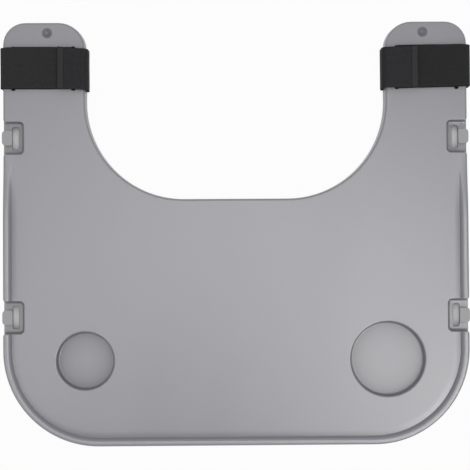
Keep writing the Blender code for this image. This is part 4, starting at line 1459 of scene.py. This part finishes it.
# %% Lamps and world
AMBIENT = 0.745
SOFTBOX_HEIGHT = 1.5
SOFTBOX_SIZE = 0.6
SOFTBOX_AIM = 0.3
SOFTBOXES = ((0.0, 0.0, 3.9), (0.0, 0.4, 2.5), (0.4, 0.0, 6.3), (0.4, -0.4, 5.4),
             (0.8, 0.0, 0.7), (0.8, -0.4, 6.5), (0.8, -0.8, 24.7), (-0.4, 0.0, 3.5),
             (-0.4, 0.4, 1.4), (-0.4, -0.4, 1.5), (-0.8, -0.4, 5.7))
for x, y, watts in SOFTBOXES:
    name = f"softbox_{x}_{y}"
    data = bpy.data.lights.new(name, "AREA")
    data.shape, data.size, data.energy = "DISK", SOFTBOX_SIZE, watts
    softbox = placed(name, data)
    softbox.location = (x, y, SOFTBOX_HEIGHT)
    ahead = Vector((SOFTBOX_AIM * x - x, SOFTBOX_AIM * y - y, -SOFTBOX_HEIGHT))
    softbox.rotation_mode = "QUATERNION"
    softbox.rotation_quaternion = ahead.to_track_quat("-Z", "Y")
    softbox.visible_diffuse = False


def background_rays(tree):
    """1 for rays that show the white backdrop: seen directly, mirrored or through something."""
    paths = add(tree, "ShaderNodeLightPath").outputs
    seen, mirrored, through = (Value(paths[f"Is {kind} Ray"])
                               for kind in ("Camera", "Glossy", "Transmission"))
    return seen.math("MAXIMUM", mirrored).math("MAXIMUM", through)


world = bpy.data.worlds.new("studio")
bpy.context.scene.world = world
world.use_nodes = True
sky = world.node_tree.nodes["Background"].inputs
sky["Color"].default_value = (1, 1, 1, 1)
put(sky["Strength"], background_rays(world.node_tree).math("MULTIPLY_ADD", 1 - AMBIENT, AMBIENT))

# %% Floor
FLOOR_Z = -0.0005
FLOOR_HALF = 4.0
FLOOR_GREY = (0.4, 0.4, 0.4, 1)
WHITE_SHARE = 0.965
SHADE_REACH = 0.055
SHADE_RANGE = (0.08, 0.45)
SHADE_SAMPLES = 16
signs = ((-1, -1), (1, -1), (1, 1), (-1, 1))
corners = [(FLOOR_HALF * x, FLOOR_HALF * y, FLOOR_Z) for x, y in signs]
floor_mesh = bpy.data.meshes.new("floor")
floor_mesh.from_pydata(corners, [], [(0, 1, 2, 3)])
mat, shader = new_material("white_floor", Roughness=0.9, Base_Color=FLOOR_GREY)
tree = mat.node_tree
open_share = openness(tree, SHADE_REACH, SHADE_SAMPLES, only_local=False)
glow = add(tree, "ShaderNodeEmission", Color=(1, 1, 1, 1), Strength=1.0)
share = background_rays(tree) * open_share.ramp(*SHADE_RANGE, 0.0, WHITE_SHARE)
mix = add(tree, "ShaderNodeMixShader", i0=share, i1=Value(shader.outputs[0]),
          i2=Value(glow.outputs[0]))
put(tree.nodes["Material Output"].inputs["Surface"], Value(mix.outputs[0]))
floor_mesh.materials.append(mat)
placed("floor", floor_mesh)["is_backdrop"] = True
bpy.context.scene.view_settings.view_transform = "Standard"

# %% The visual box
low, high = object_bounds()
print("visual box:", [round(v, 4) for v in low], [round(v, 4) for v in high])
